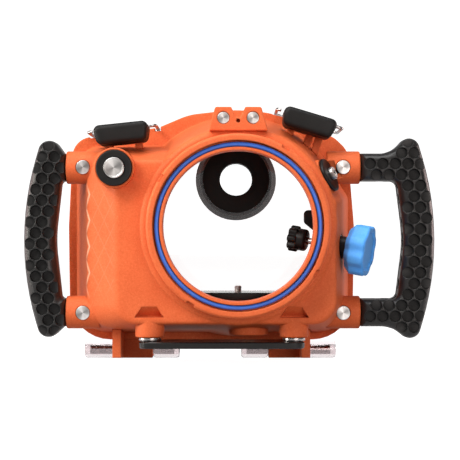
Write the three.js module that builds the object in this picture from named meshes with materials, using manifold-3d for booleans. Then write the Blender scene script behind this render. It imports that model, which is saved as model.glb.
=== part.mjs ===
// Underwater camera housing: moulded shell with a lens port, clear rear door on a bottom hinge,
// two top latches, two grips, a shutter button, a zoom control and a camera tray.
// Millimetres, +Z up. While it is built, X = 0 and Z = 0 is the port axis, the port looks along -Y,
// and Y = 0 is the plane where the rear door meets the shell. The last lines stand it on Z = 0.
import * as THREE from 'three';
import * as BufferGeometryUtils from 'three/addons/utils/BufferGeometryUtils.js';
import Module from 'manifold-3d';

const wasm = await Module();
wasm.setup();

// Shared clearances, overrun of cuts, and how finely round things are faceted
const gap = 0.3;
const overrun = 2;
const weldDistance = 1e-4;
const sides = { large: 56, medium: 24, small: 12, wire: 6, corner: 3, bow: 8, path: 48 };

// How many of each repeated feature, and the angles that pieces are set at, in degrees
const repeats = { portNotches: 4, springTurns: 3, hexFlats: 6, knobFlutes: 8, wheelLobes: 8 };
const angles = {
  notchTurn: 31.5, plugTurn: 64.4, plugTilt: 18.7, zoomDrop: 10, zoomTurn: 18, leftLatch: -6,
  rightLatch: 16.7,
};

// Driving sizes of the shell, measured from the port axis
const wall = 5;
const depth = { flange: 14, side: 60, face: 84, port: 104 };
const flange = { left: 141, right: 97, top: 97.4, bottom: 94.4, corner: 34 };
const sideRear = { left: 138, right: 94.5, top: 69, bottom: 90, corner: 26 };
const sideFront = { left: 121.5, right: 84, top: 61, bottom: 82.5, corner: 22 };
const face = { left: 97, right: 77.5, top: 52, bottom: 77.5, corner: 18 };
const hump = { frontRadius: 78, rearRadius: 93.5, frontSetback: 86, rearSetback: 5 };
const port = {
  boreRadius: 59.4, lipWidth: 2.5, lipDrop: 1.2, grooveWidth: 5.3, grooveDepth: 5.2, rimWidth: 5.3,
  rimEdge: 1.6, sealRadius: 1.9, notchWidth: 7, notchDepth: 2.2, notchLength: 5,
};
const lipRadius = port.boreRadius + port.lipWidth;
const grooveRadius = lipRadius + port.grooveWidth;
const rimRadius = grooveRadius + port.rimWidth;
const openingInset = 13;

// Corners as shares of the side lengths above: across, up, and corner radius
const flangeShares = [
  [-0.99, -1, 1], [0.985, -1, 1], [1, 0, 4], [0.945, 0.65, 0.5], [0.83, 0.76, 0.6], [0.3, 0.97, 2],
  [-0.02, 1, 3], [-0.29, 0.955, 1.5], [-0.47, 0.845, 0.5], [-0.975, 0.745, 0.5], [-1, 0, 4],
];
const blockShares = [
  [-1, -1, 1], [1, -1, 1], [1, 0.36, 0.5], [0.69, 1, 0.5], [-1, 1, 0.8],
];

// A rounded edge in three rings: how far each is drawn in, and how far it lies from the end
const edgeShares = [[1, 0], [0.3, 0.35], [0, 1]];

// Lugs for the grips
const lug = {
  radius: 13.3, length: 27, setback: 50, upper: 47.5, lower: 69.8, left: 139, right: 98.7,
  socketRadius: 9.8, socketDepth: 19.5, screwInset: 14, relief: 24,
};
const screw = { headRadius: 5.6, headHeight: 3.4, shankRadius: 2.4 };

// Grips; reach is how far the bar stands off the lug, and bowHalf is half the height of the outer arc
const grip = {
  barWidth: 24.6, halfThickness: 17, round: 6, hornRadius: 9, topHorn: 80.3, bottomHorn: 97.2,
  armRadius: 11.2, innerBow: 120, outerBow: 235, bowHalf: 66.5, spigotLength: 18, spigotRoot: 4,
};
const gripLeft = { reach: 8.9, armShare: 0.4, hollowShare: 0.03 };
const gripRight = { reach: 35, armShare: 0.83, hollowShare: 0.42 };

// Shutter button on its collar
const shutter = {
  across: 97.7, up: 45.8, collarRadius: 16, collarFace: 94, bezelRadius: 14.1, bezelDepth: 5, bezelProud: 2.6,
  buttonRadius: 8.1, buttonProud: 1.2, headHeight: 4.6, stemRadius: 2.6, travel: 3, pocketDepth: 8,
  stemEnd: 62, clipRadius: 5, clipThickness: 1.2, sealRadius: 0.9,
  springRadius: 5.8, springWire: 0.45,
};

// Blanked port on the slanted corner
const plug = {
  across: 71.2, up: 40.2, setback: 70, washerRadius: 14, washerThickness: 3.4, bodyRadius: 5.2,
  bodyProud: 3.4, shankRadius: 4, shankLength: 18, slotWidth: 1.8, slotDepth: 1.6, nutRadius: 8,
  nutThickness: 4, bossRadius: 15, bossDepth: 10,
};

// Zoom control through the right wall
const zoom = {
  across: 79.5, up: 15.9, setback: 60.8, shaftRadius: 2.5, glandRadius: 8.6, glandProud: 8.1, glandShank: 5.6,
  glandBack: 16, washerRadius: 9.6, washerThickness: 1.4, knobRadius: 21, knobLength: 17,
  knobFluteDepth: 1.7, knobEdge: 1.2, knobTaper: 4.8, knobDish: 15.8, dishDepth: 1.5, wheelRadius: 10.5,
  wheelLength: 14.5, wheelLobeDepth: 1.6, wheelLobeLength: 7.5, wheelEdge: 2, wheelFromWall: 25.2,
  clipRadius: 4.6, clipThickness: 1.2, bossRadius: 11, bossDepth: 12,
};
const stay = {
  across: 59, up: 8, tipRadius: 5.2, rootDrop: 30, rootRadius: 3.6, round: 3.6, thickness: 6, setback: 38,
  run: 30,
};

// Top bracket, two towers with a notch between them
const bracket = { halfBase: 23.4, base: 75.3, top: 94.1, notch: 85, front: 90.5, length: 24 };
const bracketShares = { outer: 0.78, inner: 0.24, notchHalf: 0.05 };
const bracketScrew = { across: 11.7, up: 85.4, headRadius: 4.7, length: 16 };

// Latches: across and up of the pin, and the heights of its ears; a lever is narrower at its foot
const latch = {
  setback: 40, width: 46.5, footShare: 0.84, thickness: 16, corner: 5, front: 36, rear: 6.4, pinRise: 2.6,
  pinRadius: 1.5, earSpacing: 24, earWidth: 6, earRadius: 4.6, bailSetback: 12, bailRise: 7, wireRadius: 1.2,
  bailOverhang: 4.2, bailBend: 2, bailTension: 0.3, edge: 4, catchLip: 1.6, catchRoot: 5, catchWidth: 30,
  catchHeight: 12, slotWidth: 5,
};
const latchLeft = { across: -93.4, up: 72, tilt: angles.leftLatch, earHeight: 16, earShares: [-0.5, 0.5] };
const latchRight = {
  across: 56.2, up: 80.5, tilt: angles.rightLatch, earHeight: 26, earShares: [-0.5, 0.17, 0.5],
};

// Rear door and its bottom hinge
const door = { thickness: 12, inset: 1, edge: 1.5 };
const hinge = {
  setback: -6, up: 104, rodRadius: 4, knuckleRadius: 7, bracketFront: 12, ribWidth: 7, ribFront: 50,
  ribRise: 2.8, foot: 5.8, innerEdge: 71.3, leftOuter: 129, leftRib: 102.1, leftInnerEnd: 49,
  rightInner: 25.8, rightRib: 58.7, rightInnerEnd: 3, rightOuter: 82.7, rodInset: 4.6, relief: 5,
};
const gasket = { radius: 1.5, inset: 6.5, edgeShare: 0.5 };
const eyepiece = {
  across: -1.5, up: 39.4, flangeRadius: 28, flangeThickness: 6, bodyRadius: 22, holeRadius: 13.6,
  bodyProud: 7, windowThickness: 2.5, windowRadius: 15.6, cupRadius: 34.4, cupLength: 12, cupWall: 4,
  cupSeat: 2.5,
};

// Feet, base plate and the boss under the middle of the shell
const foot = { across: 57.5, shift: -13, radius: 11.6, top: 72.5, bottom: 88.6, recessDepth: 8 };
const recessShares = { topHalf: 0.5, bottomHalf: 1, height: 0.75 };
const plate = { thickness: 5.4, endMargin: 8.1, width: 36, washerThickness: 2.4, washerRadius: 9 };
const baseScrew = { headRadius: 5, headHeight: 3, shankRadius: 2.6, length: 14 };
const boss = {
  across: 8.5, radius: 16, setback: 50, bottom: 88, insertRadius: 5, threadRadius: 3.1, insertDepth: 9,
};

// Camera tray on two rails, with its captive screw
const tray = {
  halfWidth: 32, top: 53.7, thickness: 5, front: 62, rear: 10, lip: 9, lipThickness: 3, screwSetback: 44,
  screwRadius: 3.1, screwProud: 5.2, headRadius: 8.5, headHeight: 5, railWidth: 7, railInset: 9,
};

// Materials

function finish(color, roughness, metalness = 0) {
  return new THREE.MeshStandardMaterial({ color, roughness, metalness });
}

const orange = finish(0xea6d42, 0.5);
const black = finish(0x2a2728, 0.6);
const rubber = finish(0x363435, 0.85);
const blue = finish(0x4f93e6, 0.4);
const steel = finish(0xc4c4c8, 0.25, 1);
const brass = finish(0xb8924a, 0.35, 1);
const clear = finish(0xe8eef0, 0.05);
clear.transparent = true;
clear.opacity = 0.3;

// Solids from three.js geometry

function welded(geometry) {
  const bare = geometry.index ? geometry.toNonIndexed() : geometry.clone();
  bare.deleteAttribute('normal');
  bare.deleteAttribute('uv');
  const merged = BufferGeometryUtils.mergeVertices(bare, weldDistance);
  const kept = [];
  const index = merged.index.array;
  for (let i = 0; i < index.length; i += 3) {
    const [a, b, c] = index.slice(i, i + 3);
    if (a !== b && b !== c && c !== a) kept.push(a, b, c);
  }
  merged.setIndex(kept);
  return merged;
}

function solid(geometry) {
  const merged = welded(geometry);
  const mesh = new wasm.Mesh({
    numProp: 3,
    vertProperties: new Float32Array(merged.attributes.position.array),
    triVerts: new Uint32Array(merged.index.array),
  });
  return new wasm.Manifold(mesh);
}

function surface(body) {
  const mesh = body.getMesh();
  const geometry = new THREE.BufferGeometry();
  geometry.setAttribute('position', new THREE.BufferAttribute(new Float32Array(mesh.vertProperties), 3));
  geometry.setIndex(new THREE.BufferAttribute(new Uint32Array(mesh.triVerts), 1));
  geometry.computeVertexNormals();
  return geometry;
}

function join(list) {
  return list.reduce((whole, one) => whole.add(one));
}

function cut(body, tools) {
  return tools.reduce((rest, tool) => rest.subtract(tool), body);
}

// Places and directions

const unit = { x: new THREE.Vector3(1, 0, 0), y: new THREE.Vector3(0, 1, 0), z: new THREE.Vector3(0, 0, 1) };
const towardFront = unit.y.clone().negate();
const radians = THREE.MathUtils.degToRad;

function at(x, y, z) {
  return new THREE.Vector3(x, y, z);
}

function aimed(geometry, origin, direction) {
  const turn = new THREE.Quaternion().setFromUnitVectors(unit.y, direction);
  geometry.applyQuaternion(turn);
  return geometry.translate(origin.x, origin.y, origin.z);
}

// A turned solid from pairs of radius and height, walked up its outside
function turned(profile, count = sides.medium) {
  const points = profile.map(([radius, height]) => new THREE.Vector2(radius, height));
  return new THREE.LatheGeometry(points, count);
}

function rod(radius, from, to, count = sides.small) {
  return turned([[0, from], [radius, from], [radius, to], [0, to]], count);
}

function tube(inner, outer, from, to, count = sides.medium) {
  return turned([[inner, from], [outer, from], [outer, to], [inner, to], [inner, from]], count);
}

function bar(low, high) {
  const size = new THREE.Vector3().subVectors(high, low);
  const middle = new THREE.Vector3().addVectors(high, low).multiplyScalar(0.5);
  return new THREE.BoxGeometry(size.x, size.y, size.z).translate(middle.x, middle.y, middle.z);
}

function wireAlong(path, radius, steps) {
  const section = new THREE.Shape().absarc(0, 0, radius, 0, 2 * Math.PI);
  return new THREE.ExtrudeGeometry(section, { steps, curveSegments: sides.wire / 2, extrudePath: path });
}

// Outlines in the X-Z plane, anticlockwise seen from the front

function spread(shares, side) {
  return shares.map(([across, up, round]) => ({
    x: across * (across < 0 ? side.left : side.right),
    z: up * (up < 0 ? side.bottom : side.top),
    radius: round * side.corner,
  }));
}

function rounded(corners, inset = 0) {
  const points = [];
  corners.forEach((corner, i) => {
    const before = corners.at(i - 1);
    const after = corners[(i + 1) % corners.length];
    const into = new THREE.Vector2(corner.x - before.x, corner.z - before.z).normalize();
    const out = new THREE.Vector2(after.x - corner.x, after.z - corner.z).normalize();
    const inward = new THREE.Vector2(-into.y, into.x);
    const next = new THREE.Vector2(-out.y, out.x);
    const scale = 1 / (1 + inward.dot(next));
    const middle = inward.clone().add(next).multiplyScalar(scale);
    const turn = Math.atan2(into.cross(out), into.dot(out));
    const bend = Math.sign(turn);
    const radius = Math.max(corner.radius - bend * inset, gap);
    const steps = corner.steps ?? sides.corner;
    for (let step = 0; step <= steps; step++) {
      const angle = (turn * step) / steps;
      const arm = inward.clone().rotateAround(new THREE.Vector2(), angle);
      points.push(new THREE.Vector2(
        corner.x + middle.x * (inset + bend * radius) - bend * radius * arm.x,
        corner.z + middle.y * (inset + bend * radius) - bend * radius * arm.y,
      ));
    }
  });
  return points;
}

// A closed solid through rings of equal count; each ring is a place along Y and an outline
function loft(rings) {
  const count = rings[0].outline.length;
  const positions = rings.flatMap(({ y, outline }) => outline.flatMap((p) => [p.x, y, p.y]));
  const index = [];
  for (let ring = 0; ring + 1 < rings.length; ring++) {
    for (let i = 0; i < count; i++) {
      const a = ring * count + i;
      const b = ring * count + ((i + 1) % count);
      index.push(a, a + count, b + count, a, b + count, b);
    }
  }
  const last = (rings.length - 1) * count;
  for (const [a, b, c] of THREE.ShapeUtils.triangulateShape(rings[0].outline, [])) {
    index.push(a, b, c);
  }
  for (const [a, b, c] of THREE.ShapeUtils.triangulateShape(rings.at(-1).outline, [])) {
    index.push(last + a, last + c, last + b);
  }
  const geometry = new THREE.BufferGeometry();
  geometry.setAttribute('position', new THREE.Float32BufferAttribute(positions, 3));
  geometry.setIndex(index);
  return geometry;
}

function slab(outline, from, to) {
  return loft([{ y: from, outline }, { y: to, outline }]);
}

function polygon(pairs) {
  return pairs.map(([x, z]) => new THREE.Vector2(x, z));
}

// The zoom control's own axis, and the blanked port's

function leaning(right, front, up) {
  return at(right, -front, up).normalize();
}

const zoomAxis = leaning(
  Math.cos(radians(angles.zoomTurn)) * Math.cos(radians(angles.zoomDrop)),
  Math.sin(radians(angles.zoomTurn)),
  -Math.cos(radians(angles.zoomTurn)) * Math.sin(radians(angles.zoomDrop)),
);
const zoomSeat = at(zoom.across, -zoom.setback, -zoom.up);
const plugAxis = leaning(
  Math.sin(radians(angles.plugTurn)) * Math.cos(radians(angles.plugTilt)),
  Math.sin(radians(angles.plugTilt)),
  Math.cos(radians(angles.plugTurn)) * Math.cos(radians(angles.plugTilt)),
);
const plugSeat = at(plug.across, -plug.setback, plug.up);

// Latch frames: origin at the pin, X along the pin

function latchPlace(which) {
  const place = new THREE.Matrix4().makeRotationY(radians(which.tilt));
  return place.setPosition(which.across, -latch.setback, which.up);
}

// Body shell

function flangeOutline(inset) {
  return rounded(spread(flangeShares, flange), inset);
}

function blockRings(inset) {
  return [
    { y: -depth.face + inset, outline: rounded(spread(blockShares, face), inset) },
    { y: -depth.side, outline: rounded(spread(blockShares, sideFront), inset) },
    { y: 0, outline: rounded(spread(blockShares, sideRear), inset) },
  ];
}

function humpProfile(inset, front, rear) {
  return [[0, front], [hump.frontRadius - inset, front], [hump.rearRadius - inset, rear]];
}

// The hollow opens to the rear by its own outline, so the flange stays whole around it
function hollowSolid(inset) {
  const rings = blockRings(inset);
  const block = solid(loft([...rings, { y: overrun, outline: rings.at(-1).outline }]));
  const reach = hump.rearRadius - inset;
  const cone = humpProfile(inset, -depth.face + inset, -hump.rearSetback);
  const profile = [...cone, [reach, overrun], [0, overrun]];
  const dome = solid(turned(profile, sides.large));
  return block.add(dome).intersect(solid(slab(flangeOutline(openingInset), -depth.port, overrun)));
}

function humpCone() {
  const rear = -hump.rearSetback;
  return turned([...humpProfile(0, -hump.frontSetback, rear), [0, rear]], sides.large);
}

function portNeck() {
  const front = -depth.port;
  return turned([
    [0, front],
    [rimRadius - port.rimEdge, front],
    [rimRadius, front + port.rimEdge],
    [rimRadius, -depth.side],
    [0, -depth.side],
  ], sides.large);
}

function portCuts() {
  const front = -depth.port;
  const floor = front + port.grooveDepth;
  const cuts = [
    rod(port.boreRadius, front - overrun, -depth.flange, sides.large),
    tube(lipRadius, grooveRadius, front - overrun, floor, sides.large),
    rod(lipRadius + gap, front - overrun, front + port.lipDrop, sides.large),
  ];
  for (let i = 0; i < repeats.portNotches; i++) {
    const low = at(rimRadius - port.notchDepth, front - overrun, -port.notchWidth / 2);
    const high = at(rimRadius + overrun, front + port.notchLength, port.notchWidth / 2);
    cuts.push(bar(low, high).rotateY((i / repeats.portNotches) * 2 * Math.PI + radians(angles.notchTurn)));
  }
  return cuts.map(solid);
}

function eachLug(make) {
  const heights = { upper: lug.upper, lower: -lug.lower };
  const faces = { left: -lug.left, right: lug.right };
  const made = [];
  for (const [row, z] of Object.entries(heights)) {
    for (const [side, x] of Object.entries(faces)) made.push(make({ x, z, out: Math.sign(x), row, side }));
  }
  return made;
}

function alongX(geometry, x, z, out) {
  return aimed(geometry, at(x, -lug.setback, z), unit.x.clone().multiplyScalar(out));
}

function lugSolid({ x, z, out }) {
  return solid(alongX(rod(lug.radius, -lug.length, 0, sides.medium), x, z, out));
}

function lugCuts({ x, z, out }) {
  const socket = alongX(rod(lug.socketRadius, -lug.socketDepth, overrun, sides.medium), x, z, out);
  const front = -lug.setback - lug.radius;
  const head = rod(screw.headRadius + gap, front - lug.relief, front + screw.headHeight);
  const shank = rod(screw.shankRadius + gap, front, -lug.setback + lug.socketRadius + overrun);
  const inset = x - out * lug.screwInset;
  return [solid(socket), solid(head.translate(inset, 0, z)), solid(shank.translate(inset, 0, z))];
}

function bracketSolid() {
  const b = bracket;
  const outline = polygon([
    [-b.halfBase, b.base],
    [b.halfBase, b.base],
    [b.halfBase * bracketShares.outer, b.top],
    [b.halfBase * bracketShares.inner, b.top],
    [b.halfBase * bracketShares.notchHalf, b.notch],
    [-b.halfBase * bracketShares.notchHalf, b.notch],
    [-b.halfBase * bracketShares.inner, b.top],
    [-b.halfBase * bracketShares.outer, b.top],
  ]);
  return solid(slab(outline, -b.front, -b.front + b.length));
}

function bracketCuts() {
  return [-1, 1].flatMap((side) => {
    const x = side * bracketScrew.across;
    const front = -bracket.front;
    const head = rod(bracketScrew.headRadius + gap, front - overrun, front + screw.headHeight);
    const hole = rod(screw.shankRadius + gap, front, front + bracketScrew.length + gap);
    return [head, hole].map((tool) => solid(tool.translate(x, 0, bracketScrew.up)));
  });
}

function footCentre(side) {
  return at(foot.shift + side * foot.across, -depth.face + foot.radius, -foot.bottom);
}

function footSolid(side) {
  const column = rod(foot.radius, 0, foot.bottom - foot.top, sides.medium);
  return solid(aimed(column, footCentre(side), unit.z));
}

// Keeps the recess above a foot closed toward the inside
function footBacking(side) {
  const middle = footCentre(side).x;
  const half = foot.radius * recessShares.bottomHalf + wall;
  const top = -foot.top + foot.radius * recessShares.height + wall;
  const low = at(middle - half, -depth.face + wall / 2, -foot.top - wall);
  return solid(bar(low, at(middle + half, -depth.face + foot.recessDepth + wall, top)));
}

function footCuts(side) {
  const centre = footCentre(side);
  const half = foot.radius * recessShares.bottomHalf;
  const topHalf = foot.radius * recessShares.topHalf;
  const height = foot.radius * recessShares.height;
  const outline = polygon([[-half, 0], [half, 0], [topHalf, height], [-topHalf, height]]);
  const recess = slab(outline, -depth.face - overrun, -depth.face + foot.recessDepth);
  const hole = rod(baseScrew.shankRadius + gap, -overrun, baseScrew.length, sides.small);
  return [
    solid(recess.translate(centre.x, 0, -foot.top)),
    solid(aimed(hole, centre, unit.z)),
  ];
}

function bossSolid() {
  const column = rod(boss.radius, 0, boss.bottom - sideFront.bottom + wall, sides.medium);
  return solid(aimed(column, at(boss.across, -boss.setback, -boss.bottom), unit.z));
}

function bossCut() {
  const hole = rod(boss.insertRadius + gap, -overrun, boss.insertDepth + gap, sides.small);
  return solid(aimed(hole, at(boss.across, -boss.setback, -boss.bottom), unit.z));
}

// Each hinge bracket runs from its rib to its inner edge
const brackets = [
  { rib: -hinge.leftRib, inner: -hinge.innerEdge, side: 1 },
  { rib: hinge.rightRib, inner: hinge.rightInner, side: -1 },
];

function hingeBracket({ rib, inner, side }) {
  const bottom = -hinge.up - hinge.foot;
  const rear = -hinge.setback + hinge.knuckleRadius;
  const low = Math.min(rib, inner);
  const high = Math.max(rib, inner);
  const top = -flange.bottom + hinge.relief;
  const leaf = bar(at(low, -hinge.bracketFront, bottom), at(high, -gap, top));
  const knuckle = bar(at(low, -hinge.bracketFront, bottom), at(high, rear, -hinge.up + hinge.foot));
  const ribEnd = rib + side * hinge.ribWidth;
  const ribLow = Math.min(rib, ribEnd);
  const profile = [
    [-hinge.ribFront, -sideFront.bottom],
    [-hinge.ribFront, bottom + hinge.ribRise],
    [-hinge.bracketFront, bottom],
    [0, bottom],
    [0, -sideFront.bottom],
  ].map(([y, z]) => new THREE.Vector2(y, z));
  const shape = new THREE.Shape(profile);
  const gusset = new THREE.ExtrudeGeometry(shape, { depth: hinge.ribWidth, bevelEnabled: false });
  gusset.applyMatrix4(new THREE.Matrix4().makeBasis(unit.y, unit.z, unit.x)).translate(ribLow, 0, 0);
  return join([leaf, knuckle, gusset].map(solid));
}

function rodHole({ rib, inner }) {
  const low = Math.min(rib, inner) - overrun;
  const high = Math.max(rib, inner) + overrun;
  return solid(aimed(rod(hinge.rodRadius + gap, low, high), at(0, -hinge.setback, -hinge.up), unit.x));
}

function latchEars(which) {
  return which.earShares.map((share) => {
    const middle = share * latch.earSpacing;
    const half = latch.earWidth / 2;
    const foot = at(middle - half, -latch.earRadius, -which.earHeight);
    const post = bar(foot, at(middle + half, latch.earRadius, 0));
    const eye = aimed(rod(latch.earRadius, middle - half, middle + half), at(0, 0, 0), unit.x);
    return solid(post.applyMatrix4(latchPlace(which))).add(solid(eye.applyMatrix4(latchPlace(which))));
  });
}

function pinHole(which, reach) {
  const hole = aimed(rod(latch.pinRadius + gap, -reach, reach), at(0, 0, 0), unit.x);
  return solid(hole.applyMatrix4(latchPlace(which)));
}

// The bail's two legs pass through notches in the tops of flange and door
function bailNotches(which, from, to) {
  const leg = latch.width / 2 + latch.bailOverhang;
  return [-1, 1].map((side) => {
    const half = latch.slotWidth / 2;
    const low = at(side * leg - half, from + latch.setback, latch.bailRise - half);
    const high = at(side * leg + half, to + latch.setback, flange.top);
    return solid(bar(low, high).applyMatrix4(latchPlace(which)));
  });
}

function shutterPlace(geometry) {
  return aimed(geometry, at(-shutter.across, -shutter.collarFace, shutter.up), towardFront);
}

function shutterCollar() {
  return solid(shutterPlace(rod(shutter.collarRadius, -(shutter.collarFace - depth.side), 0, sides.medium)));
}

function shutterBoss() {
  const tail = -(shutter.collarFace - shutter.stemEnd) + 2 * shutter.clipThickness + gap;
  return solid(shutterPlace(rod(shutter.clipRadius, tail, -shutter.bezelDepth - shutter.pocketDepth)));
}

function shutterCuts() {
  const seat = rod(shutter.bezelRadius + gap, -shutter.bezelDepth, overrun, sides.medium);
  const pocket = rod(shutter.buttonRadius + gap, -shutter.bezelDepth - shutter.pocketDepth, overrun);
  const guide = rod(shutter.stemRadius + gap, -shutter.collarFace, overrun);
  return [seat, pocket, guide].map((tool) => solid(shutterPlace(tool)));
}

function plugBoss() {
  return solid(aimed(rod(plug.bossRadius, -plug.bossDepth, 0, sides.medium), plugSeat, plugAxis));
}

function plugCuts() {
  const bore = rod(plug.shankRadius + gap, -plug.shankLength - overrun, overrun);
  const height = plug.washerThickness + plug.bodyProud + overrun;
  const spotFace = rod(plug.washerRadius + gap, 0, height, sides.medium);
  return [bore, spotFace].map((tool) => solid(aimed(tool, plugSeat, plugAxis)));
}

function zoomBoss() {
  return solid(aimed(rod(zoom.bossRadius, -zoom.bossDepth, 0, sides.medium), zoomSeat, zoomAxis));
}

function zoomCuts() {
  const bore = rod(zoom.glandShank + gap, -zoom.glandBack - overrun, overrun);
  const spotFace = rod(zoom.washerRadius + gap, 0, zoom.knobLength, sides.medium);
  return [bore, spotFace].map((tool) => solid(aimed(tool, zoomSeat, zoomAxis)));
}

function gasketGroove() {
  const floor = -2 * gasket.radius - gap;
  const outer = slab(flangeOutline(gasket.inset - gasket.radius - gap), floor, overrun);
  const inner = slab(flangeOutline(gasket.inset + gasket.radius + gap), floor - overrun, 2 * overrun);
  return solid(outer).subtract(solid(inner));
}

function bodyShell() {
  const outside = join([
    solid(slab(flangeOutline(0), -depth.flange, 0)),
    solid(loft(blockRings(0))),
    solid(humpCone()),
    solid(portNeck()),
    bracketSolid(),
    shutterCollar(),
    footSolid(-1),
    footSolid(1),
    bossSolid(),
    ...brackets.map(hingeBracket),
    ...latchEars(latchLeft),
    ...latchEars(latchRight),
  ]);
  const backings = footBacking(-1).add(footBacking(1)).intersect(solid(loft(blockRings(0))));
  const inner = join([plugBoss(), zoomBoss(), shutterBoss(), backings, ...eachLug(lugSolid)]);
  return cut(outside.subtract(hollowSolid(wall)).add(inner), [
    ...portCuts(),
    ...eachLug(lugCuts).flat(),
    ...bracketCuts(),
    ...footCuts(-1),
    ...footCuts(1),
    bossCut(),
    ...brackets.map(rodHole),
    pinHole(latchLeft, latch.earSpacing),
    pinHole(latchRight, latch.earSpacing),
    ...bailNotches(latchLeft, -depth.flange - overrun, overrun),
    ...bailNotches(latchRight, -depth.flange - overrun, overrun),
    ...shutterCuts(),
    ...plugCuts(),
    ...zoomCuts(),
    gasketGroove(),
  ]);
}

// Seals

function portORing() {
  const middle = lipRadius + gap + port.sealRadius;
  const height = -depth.port + port.grooveDepth - gap - port.sealRadius;
  const ring = new THREE.TorusGeometry(middle, port.sealRadius, sides.wire, sides.large);
  return ring.rotateX(Math.PI / 2).translate(0, height, 0);
}

function doorGasket() {
  const g = gasket;
  const edge = g.radius * g.edgeShare;
  const bands = [
    [-2 * g.radius, g.radius - edge],
    [-2 * g.radius + edge, g.radius],
    [-edge, g.radius],
    [0, g.radius - edge],
  ];
  const outer = loft(bands.map(([y, half]) => ({ y, outline: flangeOutline(g.inset - half) })));
  const inner = bands.map(([y, half]) => ({ y, outline: flangeOutline(g.inset + half) }));
  inner[0].y -= overrun;
  inner.at(-1).y += overrun;
  return solid(outer).subtract(solid(loft(inner)));
}

// Rear door

function knuckleSpans() {
  const h = hinge;
  return [
    [-h.leftOuter, -h.leftRib - gap],
    [-h.innerEdge + gap, -h.leftInnerEnd],
    [h.rightInnerEnd, h.rightInner - gap],
    [h.rightRib + gap, h.rightOuter],
  ];
}

function doorKnuckle([low, high]) {
  const axis = at(0, -hinge.setback, -hinge.up);
  const barrel = aimed(rod(hinge.knuckleRadius, low, high), axis, unit.x);
  const web = bar(at(low, gap, -hinge.up), at(high, gap + door.thickness, -flange.bottom + flange.corner));
  return solid(barrel).add(solid(web));
}

function latchCatch(which) {
  const back = gap + door.thickness;
  const wireBack = back + gap + 2 * latch.wireRadius + gap;
  const half = latch.catchWidth / 2;
  const floor = latch.bailRise - latch.wireRadius - gap;
  const place = latchPlace(which);
  const shift = latch.setback;
  const block = bar(at(-half, back - latch.catchRoot + shift, floor - latch.catchHeight),
    at(half, wireBack + latch.catchLip + shift, floor));
  const lip = bar(at(-half, wireBack + shift, floor - latch.catchLip),
    at(half, wireBack + latch.catchLip + shift, floor + latch.wireRadius + latch.catchLip));
  return [block, lip].map((piece) => solid(piece.applyMatrix4(place)));
}

function rearDoor() {
  const rear = gap + door.thickness;
  const sheet = loft([
    { y: gap, outline: flangeOutline(door.inset) },
    { y: rear - door.edge, outline: flangeOutline(door.inset) },
    { y: rear, outline: flangeOutline(door.inset + door.edge) },
  ]);
  const bracketRoom = brackets.map(({ rib, inner }) => {
    const low = Math.min(rib, inner) - gap;
    const high = Math.max(rib, inner) + gap;
    const bottom = -hinge.up - 2 * hinge.foot;
    const top = -hinge.up + hinge.foot + hinge.relief;
    return solid(bar(at(low, -overrun, bottom), at(high, rear + overrun, top)));
  });
  const hole = rod(eyepiece.bodyRadius + gap, -overrun, rear + overrun, sides.medium);
  const rodBore = rod(hinge.rodRadius + gap, -hinge.leftOuter - overrun, hinge.rightOuter + overrun);
  const whole = join([
    solid(sheet), ...knuckleSpans().map(doorKnuckle), ...latchCatch(latchLeft), ...latchCatch(latchRight),
  ]);
  return cut(whole, [
    ...bracketRoom,
    solid(hole.translate(eyepiece.across, 0, eyepiece.up)),
    solid(aimed(rodBore, at(0, -hinge.setback, -hinge.up), unit.x)),
    ...bailNotches(latchLeft, -overrun, rear + gap),
    ...bailNotches(latchRight, -overrun, rear + gap),
  ]);
}

function hingeRod(from, to) {
  const inset = hinge.rodInset;
  return aimed(rod(hinge.rodRadius, from + inset, to - inset), at(0, -hinge.setback, -hinge.up), unit.x);
}

function eyepieceBody() {
  const e = eyepiece;
  const rear = gap + door.thickness;
  const seat = rear + e.bodyProud - e.windowThickness - gap;
  return turned([
    [e.holeRadius, -e.flangeThickness],
    [e.flangeRadius, -e.flangeThickness],
    [e.flangeRadius, 0],
    [e.bodyRadius, 0],
    [e.bodyRadius, rear + e.bodyProud],
    [e.windowRadius + gap, rear + e.bodyProud],
    [e.windowRadius + gap, seat],
    [e.holeRadius, seat],
    [e.holeRadius, -e.flangeThickness],
  ]).translate(e.across, 0, e.up);
}

function eyepieceWindow() {
  const top = gap + door.thickness + eyepiece.bodyProud;
  const disc = rod(eyepiece.windowRadius, top - eyepiece.windowThickness, top, sides.medium);
  return disc.translate(eyepiece.across, 0, eyepiece.up);
}

function eyecup() {
  const e = eyepiece;
  const seat = 2 * gap + door.thickness;
  return turned([
    [e.bodyRadius + gap, seat],
    [e.cupRadius - e.cupWall, seat],
    [e.cupRadius, seat + e.cupLength],
    [e.cupRadius - e.cupWall, seat + e.cupLength],
    [e.cupRadius - e.cupWall - e.cupSeat, seat + e.cupSeat],
    [e.bodyRadius + gap, seat + e.cupSeat],
    [e.bodyRadius + gap, seat],
  ]).translate(e.across, 0, e.up);
}

// Latches, each in its own frame with X along the pin

function leverBlock() {
  const half = latch.width / 2;
  const low = -latch.thickness / 2 + latch.pinRise;
  const high = latch.thickness / 2 + latch.pinRise;
  const footHalf = half * latch.footShare;
  const corners = [[-footHalf, low], [footHalf, low], [half, high], [-half, high]]
    .map(([x, z]) => ({ x, z, radius: latch.corner }));
  const rings = edgeShares.map(([inset, away]) => ({
    away: latch.edge * away,
    outline: rounded(corners, latch.edge * inset),
  }));
  const frontRings = rings.map(({ away, outline }) => ({ y: -latch.front + away, outline }));
  const rearRings = rings.map(({ away, outline }) => ({ y: latch.rear - away, outline })).reverse();
  return loft([...frontRings, ...rearRings]);
}

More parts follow.
